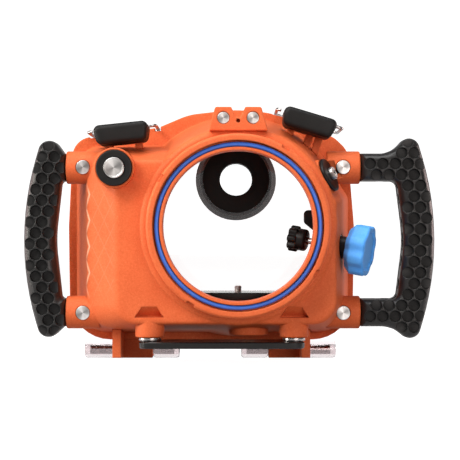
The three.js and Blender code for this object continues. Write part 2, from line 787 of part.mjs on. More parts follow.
function latchLever(which) {
  const room = latch.earRadius + 2 * gap;
  const slots = which.earShares.map((share) => {
    const middle = share * latch.earSpacing;
    const half = latch.earWidth / 2 + gap;
    return bar(at(middle - half, -room, -latch.thickness), at(middle + half, latch.rear + overrun, room));
  });
  const pin = aimed(rod(latch.pinRadius + gap, -latch.width, latch.width), at(0, 0, 0), unit.x);
  const bail = aimed(rod(latch.wireRadius + gap, -latch.width, latch.width),
    at(0, -latch.bailSetback, latch.bailRise), unit.x);
  return cut(solid(leverBlock()), [...slots, pin, bail].map(solid));
}

function latchPin() {
  const half = latch.earSpacing / 2 + latch.earWidth;
  return aimed(rod(latch.pinRadius, -half, half), at(0, 0, 0), unit.x);
}

function latchBail() {
  const leg = latch.width / 2 + latch.bailOverhang;
  const bend = latch.bailBend;
  const back = gap + door.thickness + gap + latch.wireRadius + latch.setback;
  const front = -latch.bailSetback;
  const z = latch.bailRise;
  const half = [
    [gap, front], [leg - 2 * bend, front], [leg - bend, front], [leg, front + bend], [leg, front + 2 * bend],
    [leg, back - 2 * bend], [leg, back - bend], [leg - bend, back], [leg - 2 * bend, back],
  ];
  const mirrored = half.map(([x, y]) => [-x, y]).reverse();
  const points = [...half, ...mirrored].map(([x, y]) => at(x, y, z));
  const path = new THREE.CatmullRomCurve3(points, false, 'catmullrom', latch.bailTension);
  return wireAlong(path, latch.wireRadius, sides.path);
}

// Shutter button

function shutterBezel() {
  const b = shutter;
  return shutterPlace(turned([
    [b.buttonRadius + gap, -b.bezelDepth + gap],
    [b.bezelRadius, -b.bezelDepth + gap],
    [b.bezelRadius, b.bezelProud - gap],
    [b.bezelRadius - gap, b.bezelProud],
    [b.buttonRadius + gap, b.bezelProud],
    [b.buttonRadius + gap, -b.bezelDepth + gap],
  ]));
}

function shutterButton() {
  const b = shutter;
  const top = b.bezelProud + b.buttonProud;
  const tail = -(b.collarFace - b.stemEnd);
  return shutterPlace(turned([
    [0, tail],
    [b.stemRadius, tail],
    [b.stemRadius, top - b.headHeight],
    [b.buttonRadius, top - b.headHeight],
    [b.buttonRadius, top - gap],
    [b.buttonRadius - gap, top],
    [0, top],
  ]));
}

function shutterSpring() {
  const b = shutter;
  const head = b.bezelProud + b.buttonProud - b.headHeight;
  const low = -b.bezelDepth - b.pocketDepth + b.travel + gap + b.springWire;
  const high = head - gap - b.springWire;
  const count = repeats.springTurns * sides.wire;
  const points = Array.from({ length: count + 1 }, (_, i) => {
    const angle = (i / sides.wire) * 2 * Math.PI;
    const height = low + ((high - low) * i) / count;
    return at(b.springRadius * Math.cos(angle), height, b.springRadius * Math.sin(angle));
  });
  const path = new THREE.CatmullRomCurve3(points);
  return shutterPlace(wireAlong(path, b.springWire, 2 * count));
}

function shutterSeal() {
  const b = shutter;
  const middle = b.stemRadius + gap + b.sealRadius;
  const ring = new THREE.TorusGeometry(middle, b.sealRadius, sides.wire, sides.small);
  const depthIn = -b.bezelDepth - b.pocketDepth + gap + b.sealRadius;
  return shutterPlace(ring.rotateX(Math.PI / 2).translate(0, depthIn, 0));
}

function shutterClip() {
  const b = shutter;
  const tail = -(b.collarFace - b.stemEnd) + b.clipThickness;
  return shutterPlace(tube(b.stemRadius + gap, b.clipRadius, tail, tail + b.clipThickness, sides.small));
}

// Blanked port

function plugWasher() {
  const ring = tube(plug.shankRadius + gap, plug.washerRadius, gap, plug.washerThickness);
  return aimed(ring, plugSeat, plugAxis);
}

function plugBody() {
  const seat = plug.washerThickness + gap;
  const head = solid(rod(plug.bodyRadius, seat, seat + plug.bodyProud, repeats.hexFlats));
  const shank = solid(rod(plug.shankRadius, -plug.shankLength, seat + gap));
  const top = seat + plug.bodyProud;
  const slot = bar(at(-plug.bodyRadius, top - plug.slotDepth, -plug.slotWidth / 2),
    at(plug.bodyRadius, top + overrun, plug.slotWidth / 2));
  return aimed(surface(head.add(shank).subtract(solid(slot))), plugSeat, plugAxis);
}

function plugNut() {
  const top = -plug.bossDepth - gap;
  const low = top - plug.nutThickness;
  const blank = solid(rod(plug.nutRadius, low, top, repeats.hexFlats));
  const bore = solid(rod(plug.shankRadius + gap, low - overrun, top + overrun));
  return aimed(surface(blank.subtract(bore)), plugSeat, plugAxis);
}

// Zoom control

function lobed(radius, dip, count, from, to) {
  const total = count * sides.wire;
  const points = Array.from({ length: total }, (_, i) => {
    const angle = (i / total) * 2 * Math.PI;
    const reach = radius - dip * Math.sin((count * angle) / 2) ** 4;
    return new THREE.Vector2(reach * Math.cos(angle), reach * Math.sin(angle));
  });
  return slab(points, from, to);
}

function onShaft(geometry) {
  return aimed(geometry, zoomSeat, zoomAxis);
}

function zoomGland() {
  const z = zoom;
  const flat = z.washerThickness + 2 * gap;
  return onShaft(turned([
    [z.shaftRadius + gap, -z.glandBack],
    [z.glandShank, -z.glandBack],
    [z.glandShank, flat],
    [z.glandRadius, flat],
    [z.glandRadius, flat + z.glandProud],
    [z.shaftRadius + gap, flat + z.glandProud],
    [z.shaftRadius + gap, -z.glandBack],
  ]));
}

function glandRing() {
  const z = zoom;
  return onShaft(tube(z.glandShank + gap, z.washerRadius, gap, gap + z.washerThickness));
}

function knobBase() {
  return zoom.washerThickness + 2 * gap + zoom.glandProud + gap;
}

function zoomKnob() {
  const z = zoom;
  const start = knobBase();
  const end = start + z.knobLength;
  const grip = solid(lobed(z.knobRadius, z.knobFluteDepth, repeats.knobFlutes, start, end));
  const envelope = solid(turned([
    [0, start],
    [z.knobRadius - z.knobTaper, start],
    [z.knobRadius, start + z.knobTaper],
    [z.knobRadius, end - z.knobEdge],
    [z.knobRadius - z.knobEdge, end],
    [0, end],
  ]));
  const dish = rod(z.knobDish, end - z.dishDepth, end + overrun, sides.medium);
  const bore = rod(z.shaftRadius + gap, start - overrun, end - 2 * z.dishDepth);
  return onShaft(surface(cut(grip.intersect(envelope), [solid(dish), solid(bore)])));
}

function zoomShaft() {
  const start = -zoom.wheelFromWall - zoom.wheelLength - zoom.clipThickness;
  return onShaft(rod(zoom.shaftRadius, start, knobBase() + zoom.knobLength - 2 * zoom.dishDepth - gap));
}

function zoomWheel() {
  const z = zoom;
  const near = -z.wheelFromWall;
  const far = near - z.wheelLength;
  const lobesEnd = far + z.wheelLobeLength;
  const hubRadius = z.wheelRadius - z.wheelLobeDepth;
  const lobes = solid(lobed(z.wheelRadius, z.wheelLobeDepth, repeats.wheelLobes, far, lobesEnd));
  const hub = solid(turned([
    [0, lobesEnd - z.wheelEdge],
    [hubRadius, lobesEnd - z.wheelEdge],
    [hubRadius, near - z.wheelEdge],
    [hubRadius - z.wheelEdge, near],
    [0, near],
  ]));
  const bore = solid(rod(z.shaftRadius + gap, far - overrun, near + overrun));
  return onShaft(surface(lobes.add(hub).subtract(bore)));
}

function zoomClip() {
  const z = zoom;
  const top = -z.glandBack - gap;
  return onShaft(tube(z.shaftRadius + gap, z.clipRadius, top - z.clipThickness, top, sides.small));
}

// Stay above the wheel, from the right wall inwards
function shaftStay() {
  const s = stay;
  const corners = [
    [s.across - s.tipRadius, s.up - s.tipRadius, s.round],
    [s.across + s.run, s.up - s.rootDrop - s.rootRadius, gap],
    [s.across + s.run, s.up - s.rootDrop + s.rootRadius, gap],
    [s.across + s.tipRadius, s.up + s.tipRadius, s.round],
    [s.across - s.tipRadius, s.up + s.tipRadius, s.round],
  ].map(([x, z, radius]) => ({ x, z, radius }));
  const arm = solid(slab(rounded(corners), -s.setback - s.thickness, -s.setback));
  return arm.intersect(hollowSolid(wall + gap));
}

// Grips

// The outer edge is one arc between two straight ends, which meet at its peak and run out to the horns
function gripCorners(which, out, root) {
  const g = grip;
  const inner = root + which.reach;
  const outer = inner + g.barWidth;
  const arm = root + which.reach * which.armShare;
  const hollow = root + (which.reach + g.barWidth) * which.hollowShare;
  const dip = hollow - root;
  const crook = Math.min(g.armRadius / 2, arm - root - gap);
  const middle = (lug.upper - lug.lower) / 2;
  const lean = Math.asin(g.bowHalf / g.outerBow);
  const peak = outer + g.outerBow * (1 / Math.cos(lean) - 1);
  const horn = (z) => peak - Math.abs(z - middle) * Math.tan(lean);
  const points = [
    [root, -lug.lower - g.armRadius, 0], [hollow, -lug.lower - g.armRadius, dip],
    [horn(-g.bottomHorn), -g.bottomHorn, g.hornRadius], [peak, middle, g.outerBow, sides.bow],
    [horn(g.topHorn), g.topHorn, g.hornRadius], [hollow, lug.upper + g.armRadius, dip],
    [root, lug.upper + g.armRadius, 0], [root, lug.upper - g.armRadius, 0],
    [arm, lug.upper - g.armRadius, crook], [inner, middle, g.innerBow],
    [arm, -lug.lower + g.armRadius, crook], [root, -lug.lower + g.armRadius, 0],
  ];
  const placed = points.map(([x, z, radius, steps]) => ({ x: out * x, z, radius, steps }));
  return out < 0 ? placed.reverse() : placed;
}

function handle(which, side) {
  const out = side === 'left' ? -1 : 1;
  const root = lug[side] + gap;
  const corners = gripCorners(which, out, root);
  const front = -lug.setback - grip.halfThickness;
  const rear = -lug.setback + grip.halfThickness;
  const rings = edgeShares.map(([inset, away]) => ({
    away: grip.round * away,
    outline: rounded(corners, grip.round * inset),
  }));
  const frame = solid(loft([
    ...rings.map(({ away, outline }) => ({ y: front + away, outline })),
    ...rings.map(({ away, outline }) => ({ y: rear - away, outline })).reverse(),
  ]));
  const spigots = [lug.upper, -lug.lower].map((z) => {
    const stub = alongX(rod(lug.socketRadius - gap, -grip.spigotLength, grip.spigotRoot), out * root, z, out);
    const inset = out * (lug[side] - lug.screwInset);
    const hole = rod(screw.shankRadius + gap, -lug.setback - lug.radius, -lug.setback + lug.radius);
    return solid(stub).subtract(solid(hole.translate(inset, 0, z)));
  });
  return join([frame, ...spigots]);
}

// Screws

function headedScrew(headRadius, headHeight, shankRadius, length) {
  const head = solid(rod(headRadius, 0, headHeight));
  const shank = solid(rod(shankRadius, -length, gap));
  return head.add(shank);
}

function frontScrew(x, front, z, headRadius, length) {
  const body = headedScrew(headRadius, screw.headHeight - gap, screw.shankRadius, length);
  return aimed(surface(body), at(x, front + screw.headHeight - gap, z), towardFront);
}

function lugScrew({ x, z, out }) {
  const front = -lug.setback - lug.radius;
  const length = lug.radius + lug.socketRadius - screw.headHeight;
  return frontScrew(x - out * lug.screwInset, front, z, screw.headRadius, length);
}

function bracketScrewAt(side) {
  const { across, up, headRadius, length } = bracketScrew;
  return frontScrew(side * across, -bracket.front, up, headRadius, length - screw.headHeight);
}

// Base plate under the feet

const plateTop = -foot.bottom - 2 * gap - plate.washerThickness;

function footWasher(side) {
  const low = plateTop + gap;
  const ring = tube(baseScrew.shankRadius + gap, plate.washerRadius, low, low + plate.washerThickness);
  const centre = footCentre(side);
  return aimed(ring, at(centre.x, centre.y, 0), unit.z);
}

function basePlate() {
  const half = plate.width / 2;
  const halfLength = foot.across + plate.endMargin;
  const middle = -depth.face + foot.radius;
  const corners = [[-1, -1], [1, -1], [1, 1], [-1, 1]]
    .map(([x, y]) => ({ x: foot.shift + x * halfLength, z: y * half, radius: half / 2 }));
  const blank = slab(rounded(corners), -plate.thickness, 0).rotateX(Math.PI / 2);
  const shaped = solid(blank.translate(0, middle, plateTop));
  const holes = [-1, 1].flatMap((side) => {
    const centre = footCentre(side);
    const low = plateTop - plate.thickness;
    const shank = rod(baseScrew.shankRadius + gap, low - overrun, plateTop + overrun);
    const head = rod(baseScrew.headRadius + gap, low - overrun, low + baseScrew.headHeight);
    return [shank, head].map((tool) => solid(aimed(tool, at(centre.x, centre.y, 0), unit.z)));
  });
  return cut(shaped, holes);
}

function baseScrewAt(side) {
  const centre = footCentre(side);
  const seat = plateTop - plate.thickness + baseScrew.headHeight - gap;
  const reach = plate.thickness - baseScrew.headHeight + plate.washerThickness + baseScrew.length;
  const head = baseScrew.headHeight - gap;
  const body = headedScrew(baseScrew.headRadius, head, baseScrew.shankRadius, reach - gap);
  return aimed(surface(body), at(centre.x, centre.y, seat), unit.z.clone().negate());
}

function tripodInsert() {
  const bush = tube(boss.threadRadius, boss.insertRadius, 0, boss.insertDepth, sides.small);
  return aimed(bush, at(boss.across, -boss.setback, -boss.bottom), unit.z);
}

// Camera tray

function trayPlate() {
  const t = tray;
  const sheet = bar(at(-t.halfWidth, -t.front, -t.top - t.thickness), at(t.halfWidth, -t.rear, -t.top));
  const lipRear = -t.front + t.lipThickness;
  const lip = bar(at(-t.halfWidth, -t.front, -t.top - t.lip), at(t.halfWidth, lipRear, -t.top));
  const hole = rod(t.screwRadius + gap, -t.top - t.thickness - overrun, -t.top + overrun);
  return solid(sheet).add(solid(lip)).subtract(solid(aimed(hole, at(0, -t.screwSetback, 0), unit.z)));
}

function trayScrew() {
  const t = tray;
  const under = -t.top - t.thickness - gap;
  return aimed(turned([
    [0, under - t.headHeight],
    [t.headRadius, under - t.headHeight],
    [t.headRadius, under],
    [t.screwRadius, under],
    [t.screwRadius, -t.top + t.screwProud - gap],
    [t.screwRadius - 2 * gap, -t.top + t.screwProud],
    [0, -t.top + t.screwProud],
  ], sides.small), at(0, -t.screwSetback, 0), unit.z);
}

function trayRail(side) {
  const t = tray;
  const middle = side * (t.halfWidth - t.railInset);
  const under = -t.top - t.thickness - gap;
  const low = at(middle - t.railWidth / 2, -t.front + t.lipThickness + gap, -sideRear.bottom);
  const rail = solid(bar(low, at(middle + t.railWidth / 2, -depth.flange, under)));
  return rail.intersect(hollowSolid(wall + gap));
}

// Assembly

function piece(name, shape, material) {
  const geometry = shape.isBufferGeometry ? surface(solid(shape)) : surface(shape);
  const mesh = new THREE.Mesh(geometry, material);
  mesh.name = name;
  return mesh;
}

function latchGroup(side, which) {
  const group = new THREE.Group();
  group.add(
    piece(`latch_lever_${side}`, latchLever(which), rubber),
    piece(`latch_pin_${side}`, latchPin(), steel),
    piece(`latch_bail_${side}`, latchBail(), steel),
  );
  group.applyMatrix4(latchPlace(which));
  return group;
}

const housing = new THREE.Group();
housing.add(
  piece('body_shell', bodyShell(), orange),
  piece('port_o_ring', portORing(), blue),
  piece('door_gasket', doorGasket(), rubber),
  piece('rear_door', rearDoor(), clear),
  piece('hinge_rod_left', hingeRod(-hinge.leftOuter, -hinge.leftInnerEnd), steel),
  piece('hinge_rod_right', hingeRod(hinge.rightInnerEnd, hinge.rightOuter), steel),
  piece('eyepiece_body', eyepieceBody(), black),
  piece('eyepiece_window', eyepieceWindow(), clear),
  piece('eyecup', eyecup(), rubber),
  latchGroup('left', latchLeft),
  latchGroup('right', latchRight),
  piece('shutter_bezel', shutterBezel(), black),
  piece('shutter_button', shutterButton(), steel),
  piece('shutter_spring', shutterSpring(), steel),
  piece('shutter_o_ring', shutterSeal(), rubber),
  piece('shutter_clip', shutterClip(), steel),
  piece('plug_washer', plugWasher(), black),
  piece('plug_body', plugBody(), steel),
  piece('plug_nut', plugNut(), black),
  piece('zoom_knob', zoomKnob(), blue),
  piece('zoom_gland', zoomGland(), black),
  piece('gland_ring', glandRing(), steel),
  piece('zoom_shaft', zoomShaft(), steel),
  piece('zoom_wheel', zoomWheel(), black),
  piece('zoom_clip', zoomClip(), steel),
  piece('shaft_stay', shaftStay(), black),
  piece('handle_left', handle(gripLeft, 'left'), rubber),
  piece('handle_right', handle(gripRight, 'right'), rubber),
  ...eachLug((place) => piece(`handle_screw_${place.row}_${place.side}`, lugScrew(place), steel)),
  piece('bracket_screw_left', bracketScrewAt(-1), steel),
  piece('bracket_screw_right', bracketScrewAt(1), steel),
  piece('foot_washer_left', footWasher(-1), steel),
  piece('foot_washer_right', footWasher(1), steel),
  piece('base_plate', basePlate(), black),
  piece('base_screw_left', baseScrewAt(-1), steel),
  piece('base_screw_right', baseScrewAt(1), steel),
  piece('tripod_insert', tripodInsert(), brass),
  piece('tray_plate', trayPlate(), black),
  piece('tray_screw', trayScrew(), steel),
  piece('tray_rail_left', trayRail(-1), black),
  piece('tray_rail_right', trayRail(1), black),
);

// Stand the housing on Z = 0 over the middle of its own box
const box = new THREE.Box3().setFromObject(housing);
const middle = box.getCenter(new THREE.Vector3());
housing.position.set(-middle.x, -middle.y, -box.min.z);

export default housing;
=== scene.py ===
# Looks of the underwater housing: fine mouldings, turned metal, rubber grips and the studio
import math
from functools import partial

import bpy
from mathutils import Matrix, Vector
from mathutils.bvhtree import BVHTree


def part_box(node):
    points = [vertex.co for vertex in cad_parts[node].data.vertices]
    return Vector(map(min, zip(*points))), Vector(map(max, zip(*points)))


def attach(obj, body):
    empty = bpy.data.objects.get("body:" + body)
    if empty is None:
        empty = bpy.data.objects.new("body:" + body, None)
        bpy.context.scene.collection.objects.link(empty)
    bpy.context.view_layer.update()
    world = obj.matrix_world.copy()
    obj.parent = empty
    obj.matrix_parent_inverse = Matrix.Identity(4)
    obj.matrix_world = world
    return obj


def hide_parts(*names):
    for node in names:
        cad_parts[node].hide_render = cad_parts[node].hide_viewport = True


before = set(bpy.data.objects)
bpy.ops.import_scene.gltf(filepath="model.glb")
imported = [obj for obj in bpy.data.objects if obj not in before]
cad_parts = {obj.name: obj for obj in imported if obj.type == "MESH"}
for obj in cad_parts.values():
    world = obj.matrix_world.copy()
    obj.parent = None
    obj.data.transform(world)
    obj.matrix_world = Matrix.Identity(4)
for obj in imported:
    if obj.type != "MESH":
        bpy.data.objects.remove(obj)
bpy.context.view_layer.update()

# Places are worked out in millimetres from the port axis and the sealing face of the door, as the maker would
MM = 0.001
ring_low, ring_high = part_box("port_o_ring")
seal_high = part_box("door_gasket")[1]
port_origin = Vector(((ring_low.x + ring_high.x) / 2, seal_high.y, (ring_low.z + ring_high.z) / 2))
front_way = Vector((0, -1, 0))
rear_way = Vector((0, 1, 0))
up_way = Vector((0, 0, 1))
right_way = Vector((1, 0, 0))
side_signs = {"left": -1, "right": 1}

# The clearance between pieces, and how far a cutter reaches past the face that it opens
fit, over = 0.3, 2


def linked(name, data):
    made = bpy.data.objects.new(name, data)
    bpy.context.scene.collection.objects.link(made)
    return made


# Node trees

class Wire:
    """A socket of a node tree that takes Python's own operators."""

    def __init__(self, owner, socket):
        self.owner = owner
        self.socket = socket

    def __add__(self, other):
        return self.owner.math("ADD", self, other)

    def __sub__(self, other):
        return self.owner.math("SUBTRACT", self, other)

    def __mul__(self, other):
        return self.owner.math("MULTIPLY", self, other)

    def __pow__(self, other):
        return self.owner.math("POWER", self, other)

    __radd__ = __add__


class NodeTree:
    """A tree built node by node. A tuple is a colour without its alpha, a small name a node's own setting."""

    def __init__(self, tree):
        self.tree = tree

    def feed(self, socket, value):
        if isinstance(value, Wire):
            self.tree.links.new(value.socket, socket)
        else:
            socket.default_value = (*value, 1) if isinstance(value, tuple) else value

    def node(self, kind, *values, out=0, **named):
        made = self.tree.nodes.new(kind)
        for socket, value in zip(made.inputs, values):
            self.feed(socket, value)
        for key, value in named.items():
            if key.islower():
                setattr(made, key, value)
            else:
                self.feed(made.inputs[key.replace("_", " ")], value)
        return Wire(self, made.outputs[out])


# Finishes

class Finish(NodeTree):
    """The shading of one material, or of the world."""

    def __init__(self, name, slot="", kind=bpy.data.materials):
        self.material = kind.new(name)
        self.material.use_nodes = True
        self.slot = slot
        super().__init__(self.material.node_tree)
        self.tree.nodes.clear()
        self.place = self.node("ShaderNodeTexCoord", out="Object")

    def math(self, operation, *values):
        return self.node("ShaderNodeMath", *values, operation=operation)

    def attribute(self, name, out):
        return self.node("ShaderNodeAttribute", out=out, attribute_name=name)

    def axes(self, place):
        parts = self.tree.nodes.new("ShaderNodeSeparateXYZ")
        self.feed(parts.inputs[0], place)
        return [Wire(self, socket) for socket in parts.outputs]

    def noise(self, scale, detail, roughness, place=None):
        return self.node("ShaderNodeTexNoise", Vector=place or self.place, Scale=scale, Detail=detail,
                         Roughness=roughness)

    def spread(self, value, low, high, start=0.0, end=1.0):
        return self.node("ShaderNodeMapRange", value, low, high, start, end)

    def fade(self, value, low, high):
        return self.spread(value, low, high, 1.0, 0.0)

    def near(self, value, low, high):
        """Full where the value is closer to nought than low, and gone from high on."""
        return self.fade(self.math("ABSOLUTE", value), low, high)

    def blend(self, share, first, second):
        mix = self.tree.nodes.new("ShaderNodeMix")
        mix.data_type = "RGBA"
        sockets = {socket.identifier: socket for socket in [*mix.inputs, *mix.outputs]}
        for key, value in (("Factor_Float", share), ("A_Color", first), ("B_Color", second)):
            self.feed(sockets[key], value)
        return Wire(self, sockets["Result_Color"])

    def rays(self):
        """The share of camera rays and of rays through clear plastic, and that of mirrored ones."""
        path = self.tree.nodes.new("ShaderNodeLightPath").outputs
        direct, through, mirrored = (Wire(self, path[f"Is {ray} Ray"])
                                     for ray in ("Camera", "Transmission", "Glossy"))
        return self.math("MAXIMUM", direct, through), mirrored

    def relief(self, height, distance, strength, edge=0.0):
        """A bump over an edge that is rounded in the shading only."""
        under = {"Normal": self.node("ShaderNodeBevel", samples=6, Radius=edge)} if edge else {}
        return self.node("ShaderNodeBump", Strength=strength, Distance=distance, Height=height, **under)

    def surface(self, base, rough, bump=None, **named):
        """The end of a material; bump is the height, distance, strength and edge of its relief."""
        if bump:
            named["Normal"] = self.relief(*bump)
        return self.end(self.node("ShaderNodeBsdfPrincipled", Base_Color=base, Roughness=rough, **named))

    def end(self, shader, output="ShaderNodeOutputMaterial"):
        self.feed(self.tree.nodes.new(output).inputs["Surface"], shader)
        return self


def grey(value):
    return (value, value, value)


def shaded(color, share):
    return tuple(value * share for value in color)


def shell_orange():
    """Grained orange moulding with a faint lattice of raised lines on the slanted left facet, the lines also
    painted pale as a painted highlight.
    """
    f = Finish("moulded_orange", "orange_shell")
    grain = f.noise(650, 3, 0.6)
    cloud = f.noise(45, 3, 0.55)
    tone = f.spread(grain * 0.65 + cloud * 0.35, 0.33, 0.68)
    base = f.blend(tone, (0.625, 0.107, 0.031), (0.73, 0.155, 0.051))
    fleck = f.spread(f.noise(1150, 1, 0.5), 0.62, 0.74)
    base = f.blend(fleck * 0.3, base, (0.93, 0.3, 0.13))
    cell, zigzag_x, facet_x, facet_y, facet_z = 0.0105, 0.1215, 0.109, 0.058, 0.1
    line_half, line_end, zigzag_end = 0.0003, 0.0014, 0.0011
    across, inward, up = f.axes(f.place)
    wave = f.math("PINGPONG", up, cell)
    line = port_origin.x - zigzag_x + (wave - 0.005) * 0.33
    front = f.fade(inward, port_origin.y - facet_y, port_origin.y - facet_y + 0.004)
    span = f.near(up - facet_z, 0.036, 0.048)
    ridge_and_highlight = f.near(across - line, line_half, zigzag_end) * front * span
    faint = f.near(across - port_origin.x + facet_x, 0.0085, 0.0115) * front * span * 0.1
    for lean in (2.0, -2.0):
        slope = f.math("PINGPONG", up + across * lean, cell)
        ridge_and_highlight = f.math("MAXIMUM", ridge_and_highlight, f.fade(slope, line_half, line_end) * faint)
    # The lattice lines are raised in the bump and painted pale in the colour: a painted highlight along the
    # ridges.
    return f.surface(f.blend(ridge_and_highlight * 0.6, base, (1.0, 0.6, 0.4)), 0.48 + grain * 0.14,
                     (grain * 0.7 + cloud * 0.3 + ridge_and_highlight * 3.0, 0.00022, 0.55, 0.0013), Specular_IOR_Level=0.16)


def grained(name, slot, dark, light, patch, grain, bump, rough, share=0.14, **named):
    """A finish whose tone and gloss vary in patches; patch and grain are noises, bump the grain's depth."""
    f = Finish(name, slot)
    patches = f.noise(*patch)
    base = f.blend(f.spread(patches, 0.3, 0.7), dark, light)
    return f.surface(base, rough + patches * share, (f.noise(*grain), *bump), **named)


def mould_black(name, slot, tone=0.008, rough=0.36, shine=0.2, grain_depth=0.00008):
    dark, light = grey(tone * 0.8), shaded((1.35, 1.22, 1.22), tone)
    return grained(name, slot, dark, light, (60, 3, 0.6), (800, 2, 0.5), (grain_depth, 0.6, 0.0006), rough,
                   Specular_IOR_Level=shine)


def drawn_metal(name, slot, tone, rough):
    streak = (700, 3, 0.6)
    return grained(name, slot, shaded(tone, 0.8), tone, streak, streak, (0.00003, 0.6, 0.0003), rough, 0.12,
                   Metallic=1.0)


def seal_rubber(name, slot, tone):
    return grained(name, slot, shaded(tone, 0.82), tone, (160, 3, 0.6), (900, 2, 0.5), (0.00004, 0.5), 0.3)


def grip_rubber():
    """Black rubber, with painted shade darkening the bottom of its pits, which are also duller."""
    f = Finish("grip_rubber_skin", "grip_rubber")
    dust = f.noise(120, 4, 0.65)
    base = f.blend(f.spread(dust, 0.35, 0.72), (0.007, 0.0067, 0.007), (0.015, 0.0143, 0.0147))
    sunk = f.attribute("pit_shade_depth", "Fac")
    # Painted shade: the deeper a point sits in a pit, the nearer its colour comes to this near-black.
    return f.surface(f.blend(sunk, base, (0.0022, 0.0021, 0.0022)), 0.3 + dust * 0.16 + sunk * 0.25,
                     (f.noise(1100, 2, 0.6) * 0.8 + dust * 0.2, 0.0001, 0.6, 0.0009), Specular_IOR_Level=0.34)


def turned_steel():
    """Faced steel with a painted sheen: light and dark opposite sectors painted into its colour, with rings
    of fine turning streaks.
    """
    f = Finish("turned_steel", "steel")
    across, along, _ = f.axes(f.attribute("own_axis", "Vector"))
    radius = (across * across + along * along) ** 0.5
    angle = f.math("ARCTAN2", across, along)
    broad, fine = (f.math("COSINE", angle * count + start) * 0.5 + 0.5
                   for count, start in ((2, 0.9), (5, -0.6)))
    streak = f.noise(500, 2, 0.5, f.node("ShaderNodeCombineXYZ", radius * 6.0, 0.0, 0.0))
    # Painted sheen: the sectors stand in for the light that turning marks catch; the streaks by radius are
    # real turning marks.
    share = f.spread(broad * 0.6 + fine * broad * 0.3 + streak * 0.3, 0.12, 0.9)
    base = f.blend(share, (0.27, 0.26, 0.255), (0.82, 0.8, 0.79))
    return f.surface(base, 0.3 + streak * 0.12, (streak, 0.00003, 0.6, 0.0004), Metallic=1.0)


def knob_blue():
    f = Finish("knob_blue", "blue_plastic")
    grain = f.noise(850, 2, 0.6)
    tone = f.spread(f.noise(70, 2, 0.5) * 0.5 + grain * 0.5, 0.35, 0.65)
    return f.surface(f.blend(tone, (0.085, 0.37, 0.98), (0.12, 0.44, 1.0)), 0.42 + grain * 0.12,
                     (grain, 0.00008, 0.5, 0.0011), Specular_IOR_Level=0.2)


def clear_plastic(name="clear_moulding", slot="clear_plastic", tint=(0.985, 0.975, 0.975)):
    """Clear plastic, tinted darker and pinker towards the bottom, over the door's knuckles."""
    f = Finish(name, slot)
    haze = f.noise(90, 3, 0.6)
    base = f.blend(f.spread(haze, 0.35, 0.75), tint, shaded(tint, 0.985))
    low_down = f.fade(f.axes(f.place)[2], 0.012, 0.026)
    return f.surface(f.blend(low_down, base, (0.8, 0.735, 0.745)), 0.015 + haze * 0.02, (haze, 0.00002, 0.3),
                     Transmission_Weight=1.0, IOR=1.45)


def paper_white(name, glow, tone):
    """Paper that glows white for the camera and through clear plastic, and less in a reflection."""
    f = Finish(name)
    seen, mirrored = f.rays()
    return f.surface(grey(tone), 0.9, Emission_Color=grey(1),
                     Emission_Strength=f.math("MAXIMUM", seen, mirrored * 0.6) * glow)


finishes = {
    "shell": shell_orange(),
    "black": mould_black("satin_black", "black_plastic"),
    "hub": mould_black("matt_black", "black_plastic", 0.004, 0.54, 0.15),
    "lever": mould_black("lever_cover", "lever_rubber", 0.007, 0.44, 0.2, 0.00012),
    "cup": mould_black("eyecup_skin", "eyecup_rubber", 0.03, 0.64, 0.25, 0.0001),
    "anodised": mould_black("black_anodised", "black_metal", 0.006, 0.14, 0.3, 0.00002),
    "grip": grip_rubber(),
    "turned": turned_steel(),
    "steel": drawn_metal("drawn_steel", "steel", (0.46, 0.44, 0.44), 0.22),
    "brass": drawn_metal("turned_brass", "brass", (0.68, 0.47, 0.2), 0.25),
    "blue_seal": seal_rubber("blue_seal_ring", "blue_seal", (0.04, 0.155, 0.66)),
    "black_seal": seal_rubber("black_seal_ring", "black_seal", grey(0.01)),
    "knob": knob_blue(),
    "clear": clear_plastic(),
    "window": clear_plastic("eyepiece_pane", "window_glass", (0.97, 0.985, 0.985)),
}


# Mesh building

def mesh_piece(name, points, faces, edges=()):
    data = bpy.data.meshes.new(name)
    data.from_pydata([port_origin + Vector(point) * MM for point in points], edges, faces)
    data.validate()
    return linked(name, data)


def bake(piece):
    bpy.context.view_layer.update()
    shaped = piece.evaluated_get(bpy.context.evaluated_depsgraph_get())
    data = bpy.data.meshes.new_from_object(shaped)
    piece.modifiers.clear()
    piece.data = data


def combined(operation, base, *tools):
    for tool in tools:
        step = base.modifiers.new("step", "BOOLEAN")
        step.operation = operation
        step.solver = "MANIFOLD"
        step.object = tool
        bake(base)
        bpy.data.objects.remove(tool)
    return base


joined = partial(combined, "UNION")
carved = partial(combined, "DIFFERENCE")
kept_inside = partial(combined, "INTERSECT")


def finished(piece, finish, node, body="shell", angle=35):
    data = piece.data
    data.materials.clear()
    data.materials.append(finishes[finish].material)
    data.polygons.foreach_set("material_index", [0] * len(data.polygons))
    data.shade_smooth()
    data.set_sharp_from_angle(angle=math.radians(angle))
    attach(piece, body)
    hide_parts(node)


def dressed(finish, *nodes):
    for name in nodes:
        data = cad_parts[name].data
        data.materials.clear()
        data.materials.append(finishes[finish].material)


# Flat outlines are corners of (across, up, radius), anticlockwise seen from the front

def oblong(low, high, radius=0):
    return [(low[0], low[1], radius), (high[0], low[1], radius), (high[0], high[1], radius),
            (low[0], high[1], radius)]


def offset(corners, inset):
    moved = []
    for i, corner in enumerate(corners):
        here = Vector(corner[:2])
        into = (here - Vector(corners[i - 1][:2])).normalized()
        out = (Vector(corners[(i + 1) % len(corners)][:2]) - here).normalized()
        inward, after = Vector((-into.y, into.x)), Vector((-out.y, out.x))
        shift = (inward + after) * (inset / (1 + inward.dot(after)))
        bend = 1 if into.x * out.y - into.y * out.x > 0 else -1
        moved.append((here.x + shift.x, here.y + shift.y, max(corner[2] - bend * inset, fit)))
    return moved


